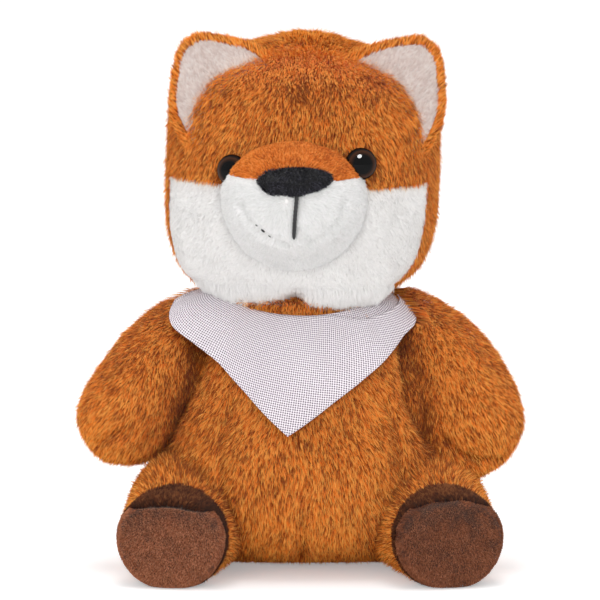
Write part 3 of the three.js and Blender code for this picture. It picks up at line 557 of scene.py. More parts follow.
def pileMaterial(name, dark, middle, light, rootShade=0.5, tipLight=0.2, roughness=0.85, sheen=0.25):
    material, tree, shader = newMaterial(name, Roughness=roughness, Sheen_Weight=sheen, Sheen_Roughness=0.45)
    shader.inputs["Specular IOR Level"].default_value = 0.2
    strand = addNode(tree, "UVMap", uv_map="OFBake")
    dye = addNode(tree, "Group", node_tree=pileGroup)
    tree.links.new(strand.outputs["UV"], dye.inputs["Strand"])
    for key, value in (("Dark", dark), ("Middle", middle), ("Light", light)):
        dye.inputs[key].default_value = rgb(*value)
    dye.inputs["Root Shade"].default_value = rootShade
    dye.inputs["Tip Light"].default_value = tipLight
    tree.links.new(dye.outputs["Colour"], shader.inputs["Base Color"])
    through = addNode(tree, "BsdfTranslucent", {"Color": dye.outputs["Colour"]})
    both = addNode(tree, "MixShader", {"Fac": 0.45})
    tree.links.new(shader.outputs[0], both.inputs[1])
    tree.links.new(through.outputs[0], both.inputs[2])
    tree.links.new(both.outputs[0], tree.nodes["Material Output"].inputs["Surface"])
    return material


def backingMaterial(name, dark, light):
    material, tree, shader = newMaterial(name, Roughness=0.9, Sheen_Weight=0.2)
    place = addNode(tree, "TexCoord")
    knit = addNode(tree, "Group", node_tree=backingGroup)
    tree.links.new(place.outputs["Object"], knit.inputs["Place"])
    knit.inputs["Dark"].default_value, knit.inputs["Light"].default_value = rgb(*dark), rgb(*light)
    bump = addNode(tree, "Bump", {"Strength": 0.4, "Distance": 0.0003, "Height": knit.outputs["Height"]})
    tree.links.new(knit.outputs["Colour"], shader.inputs["Base Color"])
    tree.links.new(bump.outputs["Normal"], shader.inputs["Normal"])
    return material


dyes = {
    "orange": pileMaterial("orange long pile", (148, 54, 8), (248, 140, 38), (255, 192, 92), 0.8, 0.38,
                           sheen=0.1),
    "white": pileMaterial("white pile", (243, 242, 241), (249, 248, 247), (254, 253, 252), 0.97, 0.3),
    # The muzzle's dye is the white one a shade darker: painted shade against the stronger light on the muzzle
    "muzzle": pileMaterial("muzzle pile", (239, 239, 238), (245, 245, 244), (251, 250, 250), 0.97, 0.3),
    "ear": pileMaterial("ear lining pile", (222, 207, 201), (235, 224, 219), (246, 240, 236), 0.92, 0.3),
    "bridge": pileMaterial("orange short pile", (182, 84, 18), (232, 132, 40), (250, 172, 82), 0.82, 0.2,
                           sheen=0.12),
    "sole": pileMaterial("brown sole pile", (102, 54, 33), (168, 103, 70), (224, 158, 118), 0.75, 0.2,
                         sheen=0.1),
    "cap": pileMaterial("brown brushed cap", (46, 18, 8), (94, 44, 18), (158, 98, 54), 0.7, 0.2, sheen=0.1),
    "black": pileMaterial("black nose pile", (10, 10, 12), (34, 33, 39), (104, 102, 114), 0.6, 0.2, 0.8,
                          0.04),
}
backings = {
    "orange": backingMaterial("orange backing", (140, 60, 16), (172, 82, 24)),
    "white": backingMaterial("white backing", (236, 233, 231), (246, 244, 243)),
    "brown": backingMaterial("brown backing", (56, 38, 26), (78, 54, 38)),
    "black": backingMaterial("black backing", (12, 11, 13), (24, 23, 26)),
}
print("finishes made:", len(dyes) + len(backings))

# Meshes


# Puts whole arrays of points and of faces with the same number of corners into a new object
def pieceFrom(name, points, faces, material, smooth=True):
    mesh = bpy.data.meshes.new(name)
    mesh.vertices.add(len(points))
    mesh.vertices.foreach_set("co", (points * mm).astype(np.float32).ravel())
    mesh.loops.add(faces.size)
    mesh.loops.foreach_set("vertex_index", faces.astype(np.int32).ravel())
    mesh.polygons.add(len(faces))
    mesh.polygons.foreach_set("loop_start", np.arange(0, faces.size, faces.shape[1], dtype=np.int32))
    mesh.polygons.foreach_set("use_smooth", np.full(len(faces), smooth))
    mesh.update(calc_edges=True)
    mesh.materials.append(material)
    piece = bpy.data.objects.new(name, mesh)
    bpy.context.scene.collection.objects.link(piece)
    return piece


def pointsOf(piece):
    co = np.empty(len(piece.data.vertices) * 3, np.float32)
    piece.data.vertices.foreach_get("co", co)
    return co.reshape(-1, 3)


# Triangles of a closed grid: two for each cell, with the first and last row drawn to one point each
def closedGrid(rows, columns):
    i, j = np.meshgrid(np.arange(rows - 1), np.arange(columns), indexing="ij")
    a, b = i * columns + j, i * columns + (j + 1) % columns
    faces = np.stack([np.stack([a, b, b + columns], -1), np.stack([a, b + columns, a + columns], -1)], 2)
    return faces.reshape(-1, 3)


# Merges the points of each pole row into one and drops the faces that close up
def closedPiece(name, points, material):
    rows, columns = points.shape[:2]
    flat = points.reshape(-1, 3)
    merged = np.arange(len(flat))
    merged[:columns] = 0
    merged[-columns:] = len(flat) - 1
    faces = merged[closedGrid(rows, columns)]
    keep = (faces[:, 0] != faces[:, 1]) & (faces[:, 1] != faces[:, 2]) & (faces[:, 0] != faces[:, 2])
    used, faces = np.unique(faces[keep], return_inverse=True)
    return pieceFrom(name, flat[used], faces.reshape(-1, 3), material)


# Roots spread evenly by area: each grid cell gets its share of the count, and a root lies at a random
# place in it
def scatter(form, density, rng):
    points = form.get("surface")
    if points is None:
        points, normals = surfaceOf(form, 150, 190)
    else:
        normals = -gridNormals(points)
    points = np.concatenate([points, points[:, :1]], 1)
    normals = np.concatenate([normals, normals[:, :1]], 1)
    a, b, c, d = points[:-1, :-1], points[:-1, 1:], points[1:, 1:], points[1:, :-1]
    area = (np.linalg.norm(np.cross(c - a, d - b), axis=-1) / 2).ravel()
    count = int(area.sum() * density)
    reach = np.cumsum(area)
    cell = np.searchsorted(reach, (np.arange(count) + rng.random(count)) / count * reach[-1])
    i, j = np.unravel_index(np.minimum(cell, len(area) - 1), a.shape[:2])
    u, v = rng.random((2, count, 1))

    def within(grid):
        top = grid[i, j] * (1 - v) + grid[i, j + 1] * v
        low = grid[i + 1, j] * (1 - v) + grid[i + 1, j + 1] * v
        return top * (1 - u) + low * u

    return within(points), unit(within(normals))


# What every pile shares: how far noise and chance turn, lengthen, bend and dye a hair, and the guard hairs,
# which are longer, straighter and lighter
hair = {
    "rippleTurn": 0.4, "lockTurn": 0.4, "turnSpread": 0.08, "lengthWave": 0.16, "lengthSpread": 0.1,
    "rootWave": 0.15, "rootSpread": 0.08, "tipWave": 0.2, "tipSpread": 0.1, "rollSpread": 0.35,
    "toneSpread": 0.32, "guardLength": 1.3, "guardLift": 0.35, "guardTone": 0.12, "widths": (0.7, 1.2),
    "ground": 0.15, "lowest": 0.4, "stretch": 1.4,
}


# Hairs as thin kites of two faces: a root, two sides half way and a tip. The first half stands nearer to
# the normal and the second lies nearer to the combed direction. Soft noise turns and lengthens them, and
# the hairs of one small cell of space make a lock: they share a turn and a tone, and their tips lean to
# its middle. A hair that pressing under the cloth has stretched is left out
def growPile(name, formName, pileName, comb, keep, seed, shade=None, press=None):
    rng = np.random.default_rng(seed)
    form, pile = forms[formName], piles[pileName]
    skin, normals = scatter(form, pile["density"], rng)
    kept = keep(skin, normals)
    skin, normals = skin[kept], normals[kept]
    count = len(skin)
    wave, ripple = softNoise(skin, pile["swirl"], seed), softNoise(skin, pile["clump"], seed + 1)
    cell = np.floor(skin / pile["lock"]).astype(np.int64)
    shared = cellNoise(cell)
    along = comb(skin, normals)
    along = unit(along - (along * normals).sum(1, keepdims=True) * normals)
    across = np.cross(normals, along)
    turn = pile["turn"] * (wave[:, 0] + hair["rippleTurn"] * ripple[:, 0] + hair["lockTurn"] * shared[:, 0])
    turn += rng.normal(0, hair["turnSpread"], count)
    along = along * np.cos(turn)[:, None] + across * np.sin(turn)[:, None]
    across = np.cross(normals, along)
    guard = rng.random(count) < pile["guards"]
    length = 1 + hair["lengthWave"] * ripple[:, 1] + rng.normal(0, hair["lengthSpread"], count)
    length = pile["length"] * length * np.where(guard, hair["guardLength"], 1)
    low, high = (math.radians(angle) for angle in pile["lean"])
    low = low + hair["rootWave"] * wave[:, 1] + rng.normal(0, hair["rootSpread"], count)
    high = np.where(guard, high - hair["guardLift"], high + hair["tipWave"] * ripple[:, 2])
    high += rng.normal(0, hair["tipSpread"], count)
    root = skin - normals * pile["inset"]
    first = normals * np.cos(low)[:, None] + along * np.sin(low)[:, None]
    second = normals * np.cos(high)[:, None] + along * np.sin(high)[:, None]
    middle = root + first * length[:, None] * 0.5
    pull = (cell + 0.5) * pile["lock"] - skin
    pull -= (pull * normals).sum(1, keepdims=True) * normals
    tip = middle + second * length[:, None] * 0.5 + pull * pile["gather"]
    roll = rng.normal(0, hair["rollSpread"], count)[:, None]
    side = unit(across * np.cos(roll) + np.cross(second, across) * np.sin(roll))
    side *= (pile["width"] * rng.uniform(*hair["widths"], count) / 2)[:, None]
    points = np.stack([root, middle - side, middle + side, tip], 1)
    if press is not None:
        points[:, 1:] = press(points[:, 1:])
    points[..., 2] = np.maximum(points[..., 2], hair["ground"])
    tone = pile.get("tone", 0.5) + pile["mottle"] * (wave[:, 2] + ripple[:, 0])
    tone += pile["stroke"] * (shared[:, 2] + rng.normal(0, hair["toneSpread"], count))
    tone += np.where(guard, hair["guardTone"], 0)
    # Painted shade in the form's creases: darker with the square of the dent's share of its depth
    for dent in form["dents"]:
        if dent["depth"] > 0:
            tone -= pile["creaseShade"] * (dentDepth(skin, dent) / dent["depth"]) ** 2
    if shade is not None:
        tone += shade(skin)
    whole = np.linalg.norm(points[:, 3] - points[:, 0], axis=1) < hair["stretch"] * pile["length"]
    strandPiece(name, form.get("rides", formName), pile, points[whole], tone[whole])


# The pile's own UV map: each hair lies in the column of its tone, from its root at the bottom to its tip
def strandPiece(name, bodyName, pile, points, tone):
    count, columns = len(points), 64
    first = np.arange(count)[:, None] * 4
    faces = np.concatenate([first + [0, 2, 1], first + [1, 2, 3]], 1).reshape(-1, 3)
    piece = pieceFrom(name, points.reshape(-1, 3), faces, dyes[pile["dye"]])
    centre = (np.floor(np.clip(tone, 0, 0.999) * columns) + 0.5) / columns
    half = 0.4 / columns
    corners = np.stack([centre, centre - half, centre + half, centre], 1)
    heights = np.array([0.02, 0.5, 0.5, 0.98])
    order = np.array([0, 2, 1, 1, 2, 3])
    uv = np.stack([corners[:, order], np.broadcast_to(heights[order], (count, 6))], -1)
    piece.data.uv_layers.new(name="OFBake").uv.foreach_set("vector", uv.astype(np.float32).ravel())
    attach(piece, bodyName)
    print(name, count, "hairs")


stuffed = {
    "rows": 64, "columns": 80, "ground": 0.3, "fill": 0.8,
    "insets": {"head": 2.6, "mask": 1.3, "muzzle": 1.2, "body": 2.6, "arm": 2.6, "leg": 2.2, "foot": 0.8,
               "ear": 1.3, "lining": 0.9, "tail": 2.6, "tip": 2.0},
}


# A stuffed skin: the form's surface drawn in by the depth of its pile, closed at both poles. Each region has
# its own depth and backing where its test holds
def stuffedSkin(name, formName, part, nodes, regions=(), backing="orange"):
    surface, normals = surfaceOf(forms[formName], stuffed["rows"], stuffed["columns"])
    depth = np.full(surface.shape[:2], stuffed["insets"][part])
    for region, _, test in regions:
        depth[test(surface.reshape(-1, 3)).reshape(depth.shape)] = stuffed["insets"][region]
    points = surface - normals * depth[..., None]
    points[..., 2] = np.maximum(points[..., 2], stuffed["ground"])
    piece = closedPiece(name, points, backings[backing])
    middles = np.empty(len(piece.data.polygons) * 3, np.float32)
    piece.data.polygons.foreach_get("center", middles)
    index = np.zeros(len(piece.data.polygons), np.int32)
    for k, (_, own, test) in enumerate(regions):
        piece.data.materials.append(backings[own])
        index[test(middles.reshape(-1, 3) / mm)] = k + 1
    piece.data.polygons.foreach_set("material_index", index)
    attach(piece, forms[formName].get("rides", formName))
    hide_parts(*nodes)


# Each pile's measures per square millimetre and in millimetres, its dye and the finish it stands for
piles = {
    "orange": {"dye": "orange", "slot": "orange_plush", "density": 7.7, "length": 4.0, "inset": 1.9,
               "width": 0.33, "lean": (28, 68), "swirl": 9, "clump": 2.4, "turn": 0.34, "lock": 0.62,
               "gather": 0.7, "guards": 0.1, "mottle": 0.12, "stroke": 0.76, "creaseShade": 0.6,
               "tone": 0.56},
    "white": {"dye": "white", "slot": "white_plush", "density": 9.0, "length": 2.3, "inset": 1.1,
              "width": 0.4, "lean": (40, 74), "swirl": 7, "clump": 2.0, "turn": 0.5, "lock": 0.6,
              "gather": 0.3, "guards": 0.0, "mottle": 0.16, "stroke": 0.42, "creaseShade": 0.2},
    "bridge": {"dye": "bridge", "slot": "bridge_velour", "density": 10.0, "length": 2.0, "inset": 1.0,
               "width": 0.34, "lean": (32, 64), "swirl": 5, "clump": 1.6, "turn": 0.6, "lock": 0.6,
               "gather": 0.4, "guards": 0.0, "mottle": 0.2, "stroke": 0.46, "creaseShade": 0},
    "sole": {"dye": "sole", "slot": "brown_velour", "density": 14.0, "length": 1.1, "inset": 0.6,
             "width": 0.3, "lean": (16, 44), "swirl": 4, "clump": 1.3, "turn": 1.0, "lock": 0.4,
             "gather": 0.2, "guards": 0.0, "mottle": 0.05, "stroke": 0.26, "creaseShade": 0},
}
piles["earBack"] = {**piles["orange"], "length": 3.4, "inset": 1.4}
# The muzzle's pile takes that darker dye, a painted shade
piles["muzzle"] = {**piles["white"], "dye": "muzzle"}
piles["tailTip"] = {**piles["white"], "length": 4.2, "inset": 1.9, "gather": 0.5, "lock": 0.9}
piles["fringe"] = {**piles["white"], "density": 12.0, "length": 4.4, "inset": 0.9, "width": 0.26,
                   "lean": (44, 72), "swirl": 6, "turn": 0.3, "lock": 0.7, "gather": 0.5, "guards": 0.03}
piles["ear"] = {**piles["white"], "dye": "ear", "slot": "ear_lining", "width": 0.36, "lean": (38, 70),
                "swirl": 5, "clump": 1.8, "lock": 0.7, "gather": 0.4, "guards": 0.02, "creaseShade": 0}
piles["cap"] = {**piles["sole"], "dye": "cap", "length": 2.2, "inset": 0.9, "lean": (24, 56), "swirl": 6,
                "lock": 0.7, "mottle": 0.2, "stroke": 0.4}
piles["nose"] = {**piles["sole"], "dye": "black", "slot": "black_embroidery", "length": 1.5, "inset": 0.4,
                 "lock": 0.5}

# Head

seams = {"maskHeight": 47, "backPanelAhead": 18, "bridgeRise": 9.4, "fringe": 9, "bellyHalf": 34}
# How deep in each neighbour a part's pile still grows, so that a raised arm or a swung leg bares no cloth
buried = {
    "head": {"muzzle": 2, "body": 12}, "muzzle": {"head": 3}, "ear": {"head": 4}, "tail": {"body": 5},
    "body": {"head": 4, "tail": 4, "arm_left": 13, "arm_right": 13, "leg_left": 9, "leg_right": 9},
    "arm": {"body": 13, "head": 3}, "leg": {"body": 9},
}
combs = {"cheekDown": 0.8, "cheekOut": 45, "cheekSwirl": 0.4, "cheekSwirlLength": 12, "chinBack": 0.25,
         "muzzleDown": 0.3, "noseDown": 0.6, "noseSwirlLength": 6, "bodyOut": 160, "armDown": 0.2,
         "legDown": 0.4}
# Whorl, combing, and the painted shade and light of the crown
crown = {
    "whorl": [1, 13, 99], "whorlReach": 16, "downward": 0.6, "swirl": 0.25, "swirlLength": 7,
    "hollowPixel": (309, 101), "hollowReach": [10, 12, 7], "hollowShade": 0.42, "hollowNoise": 1.4,
    "topLight": 0.6, "topFrom": 2, "topTo": 14, "eyeShade": 0.55, "eyeSpread": 1.8,
}
eyeSettings = {"spread": 23.3, "shift": 0.9, "height": 54, "stagger": 1.9, "radius": 6.0, "dome": 4.0,
               "rim": 0.9, "out": 0.5,
               "skirt": [(5.9, 0.4), (5.4, 0.05), (4.0, 0), (2, -0.2), (2, -11), (0, -11)]}
noseTip = [-5, -74, 144]
whorl, hollow = placedBy(forms["head"], np.array(crown["whorl"])), seenAt("head", *crown["hollowPixel"])


def inHead(points):
    return (points - headPlace[:3, 3]) @ headPlace[:3, :3]


def inFront(points):
    return inHead(points)[:, 1] < -seams["backPanelAhead"]


def onMask(points):
    return inFront(points) & (inHead(points)[:, 2] <= seams["maskHeight"])


def onBridge(points):
    return inHead(points)[:, 2] - stance["muzzle"][2] >= seams["bridgeRise"]


def clearOf(part, points):
    return np.all([depthIn(forms[name], points) < depth for name, depth in buried[part].items()], axis=0)


def frontPoint(form, across, up):
    width, front, _ = sectionAt(form, up)
    power = form["squareness"]
    return np.array([across, -front * (1 - np.abs(across / width) ** power) ** (1 / power), up])


def eyeFrame(side):
    across = eyeSettings["shift"] + side * eyeSettings["spread"]
    up = eyeSettings["height"] + side * eyeSettings["stagger"]
    spots = ((across, up), (across + 1, up), (across, up + 1))
    here, beside, above = (frontPoint(forms["head"], *spot) for spot in spots)
    outward = unit(np.cross(beside - here, above - here))
    return headPlace @ frameAt(here + outward * eyeSettings["out"], outward, -zAxis)


# Combed away from a whorl at the top of the forehead, and more and more downwards
def combHead(points, normals):
    away = points - whorl
    near = np.exp(-(np.linalg.norm(away, axis=1, keepdims=True) / crown["whorlReach"]) ** 2)
    swirl = (crown["swirl"] + near) * softNoise(points, crown["swirlLength"], 19)
    return unit(away) - crown["downward"] * zAxis + swirl


# Painted shade in the hollow of the forehead and in a ring round each eye, and painted light on the top of
# the head: bell curves of the distance from the hollow and from the rim, and a smooth step of the
# height
def shadeCrown(points):
    away = (points - hollow) / crown["hollowReach"]
    low, high = hollow[2] + crown["topFrom"], hollow[2] + crown["topTo"]
    dark = crown["hollowShade"] * np.exp(-(away ** 2).sum(1))
    tone = crown["topLight"] * smoothStep(points[:, 2], low, high)
    tone -= dark * (1 + crown["hollowNoise"] * softNoise(points, 4, 17)[:, 0])
    for side in sides.values():
        reach = np.linalg.norm(points - eyeFrame(side)[:3, 3], axis=1)
        tone -= crown["eyeShade"] * np.exp(-((reach - eyeSettings["radius"]) / crown["eyeSpread"]) ** 2)
    return tone


def combCheek(points, normals):
    swirl = softNoise(points, combs["cheekSwirlLength"], 5) * combs["cheekSwirl"]
    return -combs["cheekDown"] * zAxis + points[:, :1] / combs["cheekOut"] * xAxis + swirl


def combChin(points, normals):
    return -zAxis - combs["chinBack"] * ahead + 0 * points


def combMuzzle(points, normals):
    return unit(points - noseTip) - combs["muzzleDown"] * zAxis


def combNose(points, normals):
    return softNoise(points, combs["noseSwirlLength"], 9) - combs["noseDown"] * zAxis


stuffedSkin("head_skin", "head", "head",
            ["head_crown_panel", "head_back_panel", "cheek_left_panel", "cheek_right_panel", "head_stuffing"],
            [("mask", "white", onMask)])
stuffedSkin("muzzle_skin", "muzzle", "muzzle", ["muzzle_panel", "muzzle_bridge_panel", "muzzle_stuffing"],
            [("muzzle", "orange", onBridge)], "white")
growPile("crown_fur", "head", "orange", combHead,
         lambda p, n: clearOf("head", p) & inFront(p) & (inHead(p)[:, 2] > seams["maskHeight"] + 1), 11,
         shade=shadeCrown)
for sideName, side in sides.items():
    growPile(f"head_back_{sideName}_fur", "head", "orange", combHead,
             lambda p, n: clearOf("head", p) & ~inFront(p) & (inHead(p)[:, 0] * side >= 0), 12 + side)
    growPile(f"cheek_{sideName}_fur", "head", "white", combCheek,
             lambda p, n: clearOf("head", p) & onMask(p) & (inHead(p)[:, 0] * side >= 0), 22 + side)
growPile("chin_fur", "head", "fringe", combChin,
         lambda p, n: onMask(p) & (inHead(p)[:, 2] < seams["fringe"]) & (n[:, 1] < -0.2), 25)
growPile("muzzle_fur", "muzzle", "muzzle", combMuzzle, lambda p, n: clearOf("muzzle", p) & ~onBridge(p), 31)
growPile("bridge_fur", "muzzle", "bridge", combMuzzle, lambda p, n: clearOf("muzzle", p) & onBridge(p), 32)
print("head dressed")

# Nose, mouth and eyes, worked out on the muzzle's and the head's own surfaces


# A point of the muzzle at a place across and up from its middle, carried out along its slope
def onMuzzle(across, up, out=0.0):
    form = forms["muzzle"]
    step = 0.4
    z = lengthOver(form, across, up)
    slopeX = (lengthOver(form, across + step, up) - lengthOver(form, across - step, up)) / (2 * step)
    slopeY = (lengthOver(form, across, up + step) - lengthOver(form, across, up - step)) / (2 * step)
    normal = unit(np.stack([-slopeX, -slopeY, np.ones_like(slopeX)], -1))
    local = np.stack([across, up, z], -1) + normal * np.expand_dims(out + 0 * across, -1)
    return placedBy(form, local)


seeking = {"middleRise": 133, "share": 0.7, "steps": 40}


# The places across and up on the muzzle that are seen at pixels of the photograph, found by correcting a
# guess
def muzzleSeen(pixels):
    pixels = np.array(pixels, float)
    tilt = math.radians(picture["elevation"])
    across = (pixels[:, 0] - picture["middle"]) * picture["mmPerPixel"]
    rise = (picture["ground"] - pixels[:, 1]) * picture["mmPerPixel"]
    x, up = across.copy(), rise - seeking["middleRise"]
    for _ in range(seeking["steps"]):
        point = onMuzzle(x, up)
        x += seeking["share"] * (across - point[:, 0])
        up += seeking["share"] * (rise - point[:, 2] * math.cos(tilt) - point[:, 1] * math.sin(tilt))
    return x, up


# A curve through the corners, closed or open: cubic pieces that leave each corner along its neighbours' line
def roundCurve(corners, count, closed=True):
    corners = np.array(corners, float)
    spots = np.linspace(0, len(corners) - (0 if closed else 1), count, endpoint=not closed)
    i = np.minimum(spots.astype(int), len(corners) - (1 if closed else 2))
    u = (spots - i)[:, None]

    def corner(k):
        return corners[k % len(corners)] if closed else corners[np.clip(k, 0, len(corners) - 1)]

    before, start, end, after = corner(i - 1), corner(i), corner(i + 1), corner(i + 2)
    square, cube = before - 2.5 * start + 2 * end - 0.5 * after, 1.5 * (start - end) + 0.5 * (after - before)
    return start + 0.5 * u * (end - before) + u ** 2 * square + u ** 3 * cube


noseSettings = {
    "outline": [(258, 183), (268, 176), (285, 172), (310, 172), (324, 175), (332, 180), (326, 188),
                (312, 194), (297, 198), (282, 197), (270, 196), (263, 190)],
    "rise": 2.4, "sink": 1.6, "rings": 16, "around": 72, "roundness": 3.2, "lumps": 0.12, "lumpLength": 2.0,
}


# Rings of the outline drawn in to its middle. Each ring's height is the root of one less its share to a
# power, with a little soft noise, and two rings under the edge close the pad below the fur
def noseSurface():
    x, up = muzzleSeen(noseSettings["outline"])
    outline = roundCurve(np.stack([x, up], 1), noseSettings["around"])
    centre = outline.mean(0)
    ring = np.concatenate([np.linspace(0, 1, noseSettings["rings"]), [1, 1]])
    height = noseSettings["rise"] * (1 - ring ** noseSettings["roundness"]) ** 0.5
    height[-2:] = [-noseSettings["sink"] * 0.5, -noseSettings["sink"]]
    flat = centre + ring[:, None, None] * (outline - centre)
    height = height[:, None] + 0 * flat[..., 0]
    lumps = softNoise(np.dstack([flat, 0 * height])[:-2].reshape(-1, 3), noseSettings["lumpLength"], 3)
    height[:-2] += noseSettings["lumps"] * lumps[:, 0].reshape(noseSettings["rings"], -1)
    rows = [onMuzzle(flat[k, :, 0], flat[k, :, 1], height[k]) for k in range(len(ring))]
    rows.append(np.repeat(onMuzzle(centre[:1], centre[1:], -noseSettings["sink"]), noseSettings["around"], 0))
    return np.stack(rows)[::-1]


nosePoints = noseSurface()
nosePad = closedPiece("nose_pad", nosePoints, backings["black"])
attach(nosePad, "head")
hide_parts("nose")
forms["nose"] = {"surface": nosePoints, "dents": [], "rides": "head"}
growPile("nose_fur", "nose", "nose", combNose, lambda p, n: n[:, 1] < -0.1, 35)


threads = {"around": 14, "flat": 0.7, "plyDepth": 0.14, "taper": 8}


# A tube along a curve: flattened circles square to the curve, drawn to a point at both ends, where the
# radius is the root of one less a high power of the share from the middle. Two plies of thread wave round
# it as a cosine
def threadPiece(name, curve, radius, pitch, material):
    forward = unit(np.gradient(curve, axis=0))
    outward = unit(ahead + 0 * curve)
    across = unit(np.cross(forward, outward))
    outward = np.cross(across, forward)
    length = np.concatenate([[0], np.cumsum(np.linalg.norm(np.diff(curve, axis=0), axis=1))])
    angle = np.linspace(0, 2 * np.pi, threads["around"], endpoint=False)
    taper = np.sqrt(np.clip(1 - (2 * length / length[-1] - 1) ** threads["taper"], 0, 1))
    plies = 1 + threads["plyDepth"] * np.cos(2 * angle[None] - 2 * np.pi * length[:, None] / pitch)
    reach = radius * taper[:, None] * plies
    flattened = threads["flat"] * np.sin(angle)[:, None] * outward[:, None]
    points = curve[:, None] + reach[..., None] * (np.cos(angle)[:, None] * across[:, None] + flattened)
    piece = closedPiece(name, points, material)
    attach(piece, "head")
    return piece


threadMaterial = backingMaterial("black thread", (8, 8, 10), (22, 21, 25))
mouthSettings = {"pixels": [(297, 194), (296.5, 205), (295, 222), (294, 241)], "radius": 0.7, "lift": 0.1,
                 "pitch": 1.5}
smileSettings = {
    "right": {"dashes": [[(256.5, 226.5), (258.5, 228)], [(262, 231.2), (265.5, 234)],
                         [(269, 237), (271.5, 238.8)]], "lift": 0.0},
    "left": {"dashes": [[(316, 240.5), (320, 238)]], "lift": -1.5},
    "radius": [0.2, 0.36, 0.18], "pitch": 0.9,
}
x, up = muzzleSeen(roundCurve(mouthSettings["pixels"], 70, closed=False))
mouth = threadPiece("mouth_line", onMuzzle(x, up, mouthSettings["lift"]), mouthSettings["radius"],
                    mouthSettings["pitch"], threadMaterial)
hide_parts("mouth_stitch")
for sideName in sides:
    for k, dash in enumerate(smileSettings[sideName]["dashes"]):
        x, up = muzzleSeen(roundCurve(dash, 14, closed=False))
        curve = onMuzzle(x, up, smileSettings[sideName]["lift"])
        radius, pitch = smileSettings["radius"][k], smileSettings["pitch"]
        stitch = threadPiece(f"smile_{sideName}_{k + 1}", curve, radius, pitch, threadMaterial)
        if k == 0:
            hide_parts(f"smile_{sideName}_stitch")


# Clear dome over a painted disc: the ring value runs from 0 at the pupil's middle to 1 at the rim
def makeEyeMaterial():
    material, tree, shader = newMaterial("domed eye", Roughness=0.05)
    shader.inputs["Specular IOR Level"].default_value = 0.12
    ring = addNode(tree, "Attribute", attribute_name="ring")
    place = addNode(tree, "TexCoord")
    streak = addNode(tree, "TexNoise", {"Vector": place.outputs["Object"], "Scale": 900.0, "Detail": 2.0})
    moved = addNode(tree, "Math", {0: streak.outputs["Fac"], 1: 0.05}, operation="MULTIPLY")
    spot = addNode(tree, "Math", {0: ring.outputs["Fac"], 1: moved.outputs[0]}, operation="ADD")
    ramp = addNode(tree, "ValToRGB", {"Fac": spot.outputs[0]})
    stops = [(0.0, (4, 4, 5)), (0.6, (5, 5, 6)), (0.68, (34, 18, 10)), (0.84, (62, 35, 20)),
             (0.92, (12, 8, 6)), (1.0, (6, 5, 5))]
    ramp.color_ramp.elements.new(0.5)
    for _ in range(len(stops) - 3):
        ramp.color_ramp.elements.new(0.5)
    for element, (position, colour) in zip(ramp.color_ramp.elements, stops):
        element.position, element.color = position, rgb(*colour)
    tree.links.new(ramp.outputs["Color"], shader.inputs["Base Color"])
    return material


# A profile of radius and height turned round local Z, closed at both poles
def turnedPiece(name, profile, place, material, columns=56):
    profile = np.array(profile, float)
    angle = np.linspace(0, 2 * np.pi, columns, endpoint=False)
    radius, height = profile[:, :1], profile[:, 1:] + 0 * angle
    local = np.stack([radius * np.cos(angle), radius * np.sin(angle), height], 2)
    return closedPiece(name, local @ place[:3, :3].T + place[:3, 3], material)


def makeEyes():
    material = makeEyeMaterial()
    radius, dome, rim = (eyeSettings[key] for key in ("radius", "dome", "rim"))
    turn = np.linspace(np.pi / 2, 0, 16)
    profile = [(radius * math.cos(t), rim + (dome - rim) * math.sin(t)) for t in turn]
    profile += eyeSettings["skirt"]
    for name, side in sides.items():
        eye = turnedPiece("eye_" + name + "_dome", profile[::-1], eyeFrame(side), material)
        inner = np.linalg.inv(eyeFrame(side))
        local = (pointsOf(eye) / mm) @ inner[:3, :3].T + inner[:3, 3]
        ring = np.hypot(local[:, 0], local[:, 1]) / radius
        eye.data.attributes.new("ring", "FLOAT", "POINT").data.foreach_set("value", ring.astype(np.float32))
        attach(eye, "head")
        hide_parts("eye_" + name)


makeEyes()
print("face made")

# Body

# Painted shade: where another form presses on hair, over the legs, and near the ground
shadow = {"tone": 0.55, "reach": 4.6, "legShade": 0.22, "groundShade": 0.4, "groundReach": 5}


def fromMiddle(points):
    return points[:, 0] - stance["bodyMiddle"]


def combBody(points, normals):
    return -zAxis + (points[:, :1] - stance["bodyMiddle"]) / combs["bodyOut"] * xAxis


# Painted shade on hair where another form presses on it: a bell curve of its height over that form
def shadeNear(names, points):
    near = [np.exp(-(np.maximum(-depthIn(forms[name], points), 0) / shadow["reach"]) ** 2) for name in names]
    return -shadow["tone"] * np.max(near, axis=0)


# Painted shade on the body's hair beside the arms and legs and near the ground
def shadeBody(points):
    pressed = shadeNear(["arm_left", "arm_right", "leg_left", "leg_right"], points)
    return pressed - shadow["groundShade"] * np.exp(-(points[:, 2] / shadow["groundReach"]) ** 2)


# Painted shade on a limb's hair beside the body
def shadeLimb(points):
    return shadeNear(["body"], points)


def onBody(points):
    bare = clothCover(points) < bandana["furCover"]
    return clearOf("body", points) & (points[:, 2] > hair["lowest"]) & bare


def onBelly(points):
    return (points[:, 1] < 0) & (np.abs(fromMiddle(points)) < seams["bellyHalf"])


stuffedSkin("body_skin", "body", "body",
            ["belly_panel", "body_left_panel", "body_right_panel", "body_base_panel", "body_stuffing"])
growPile("belly_fur", "body", "orange", combBody, lambda p, n: onBody(p) & onBelly(p), 41,
         shade=shadeBody, press=pressUnder)
for sideName, side in sides.items():
    growPile(f"body_{sideName}_fur", "body", "orange", combBody,
             lambda p, n: onBody(p) & ~onBelly(p) & (fromMiddle(p) * side >= 0), 42 + side,
             shade=shadeBody, press=pressUnder)

# Arms, legs, feet, ears and tail

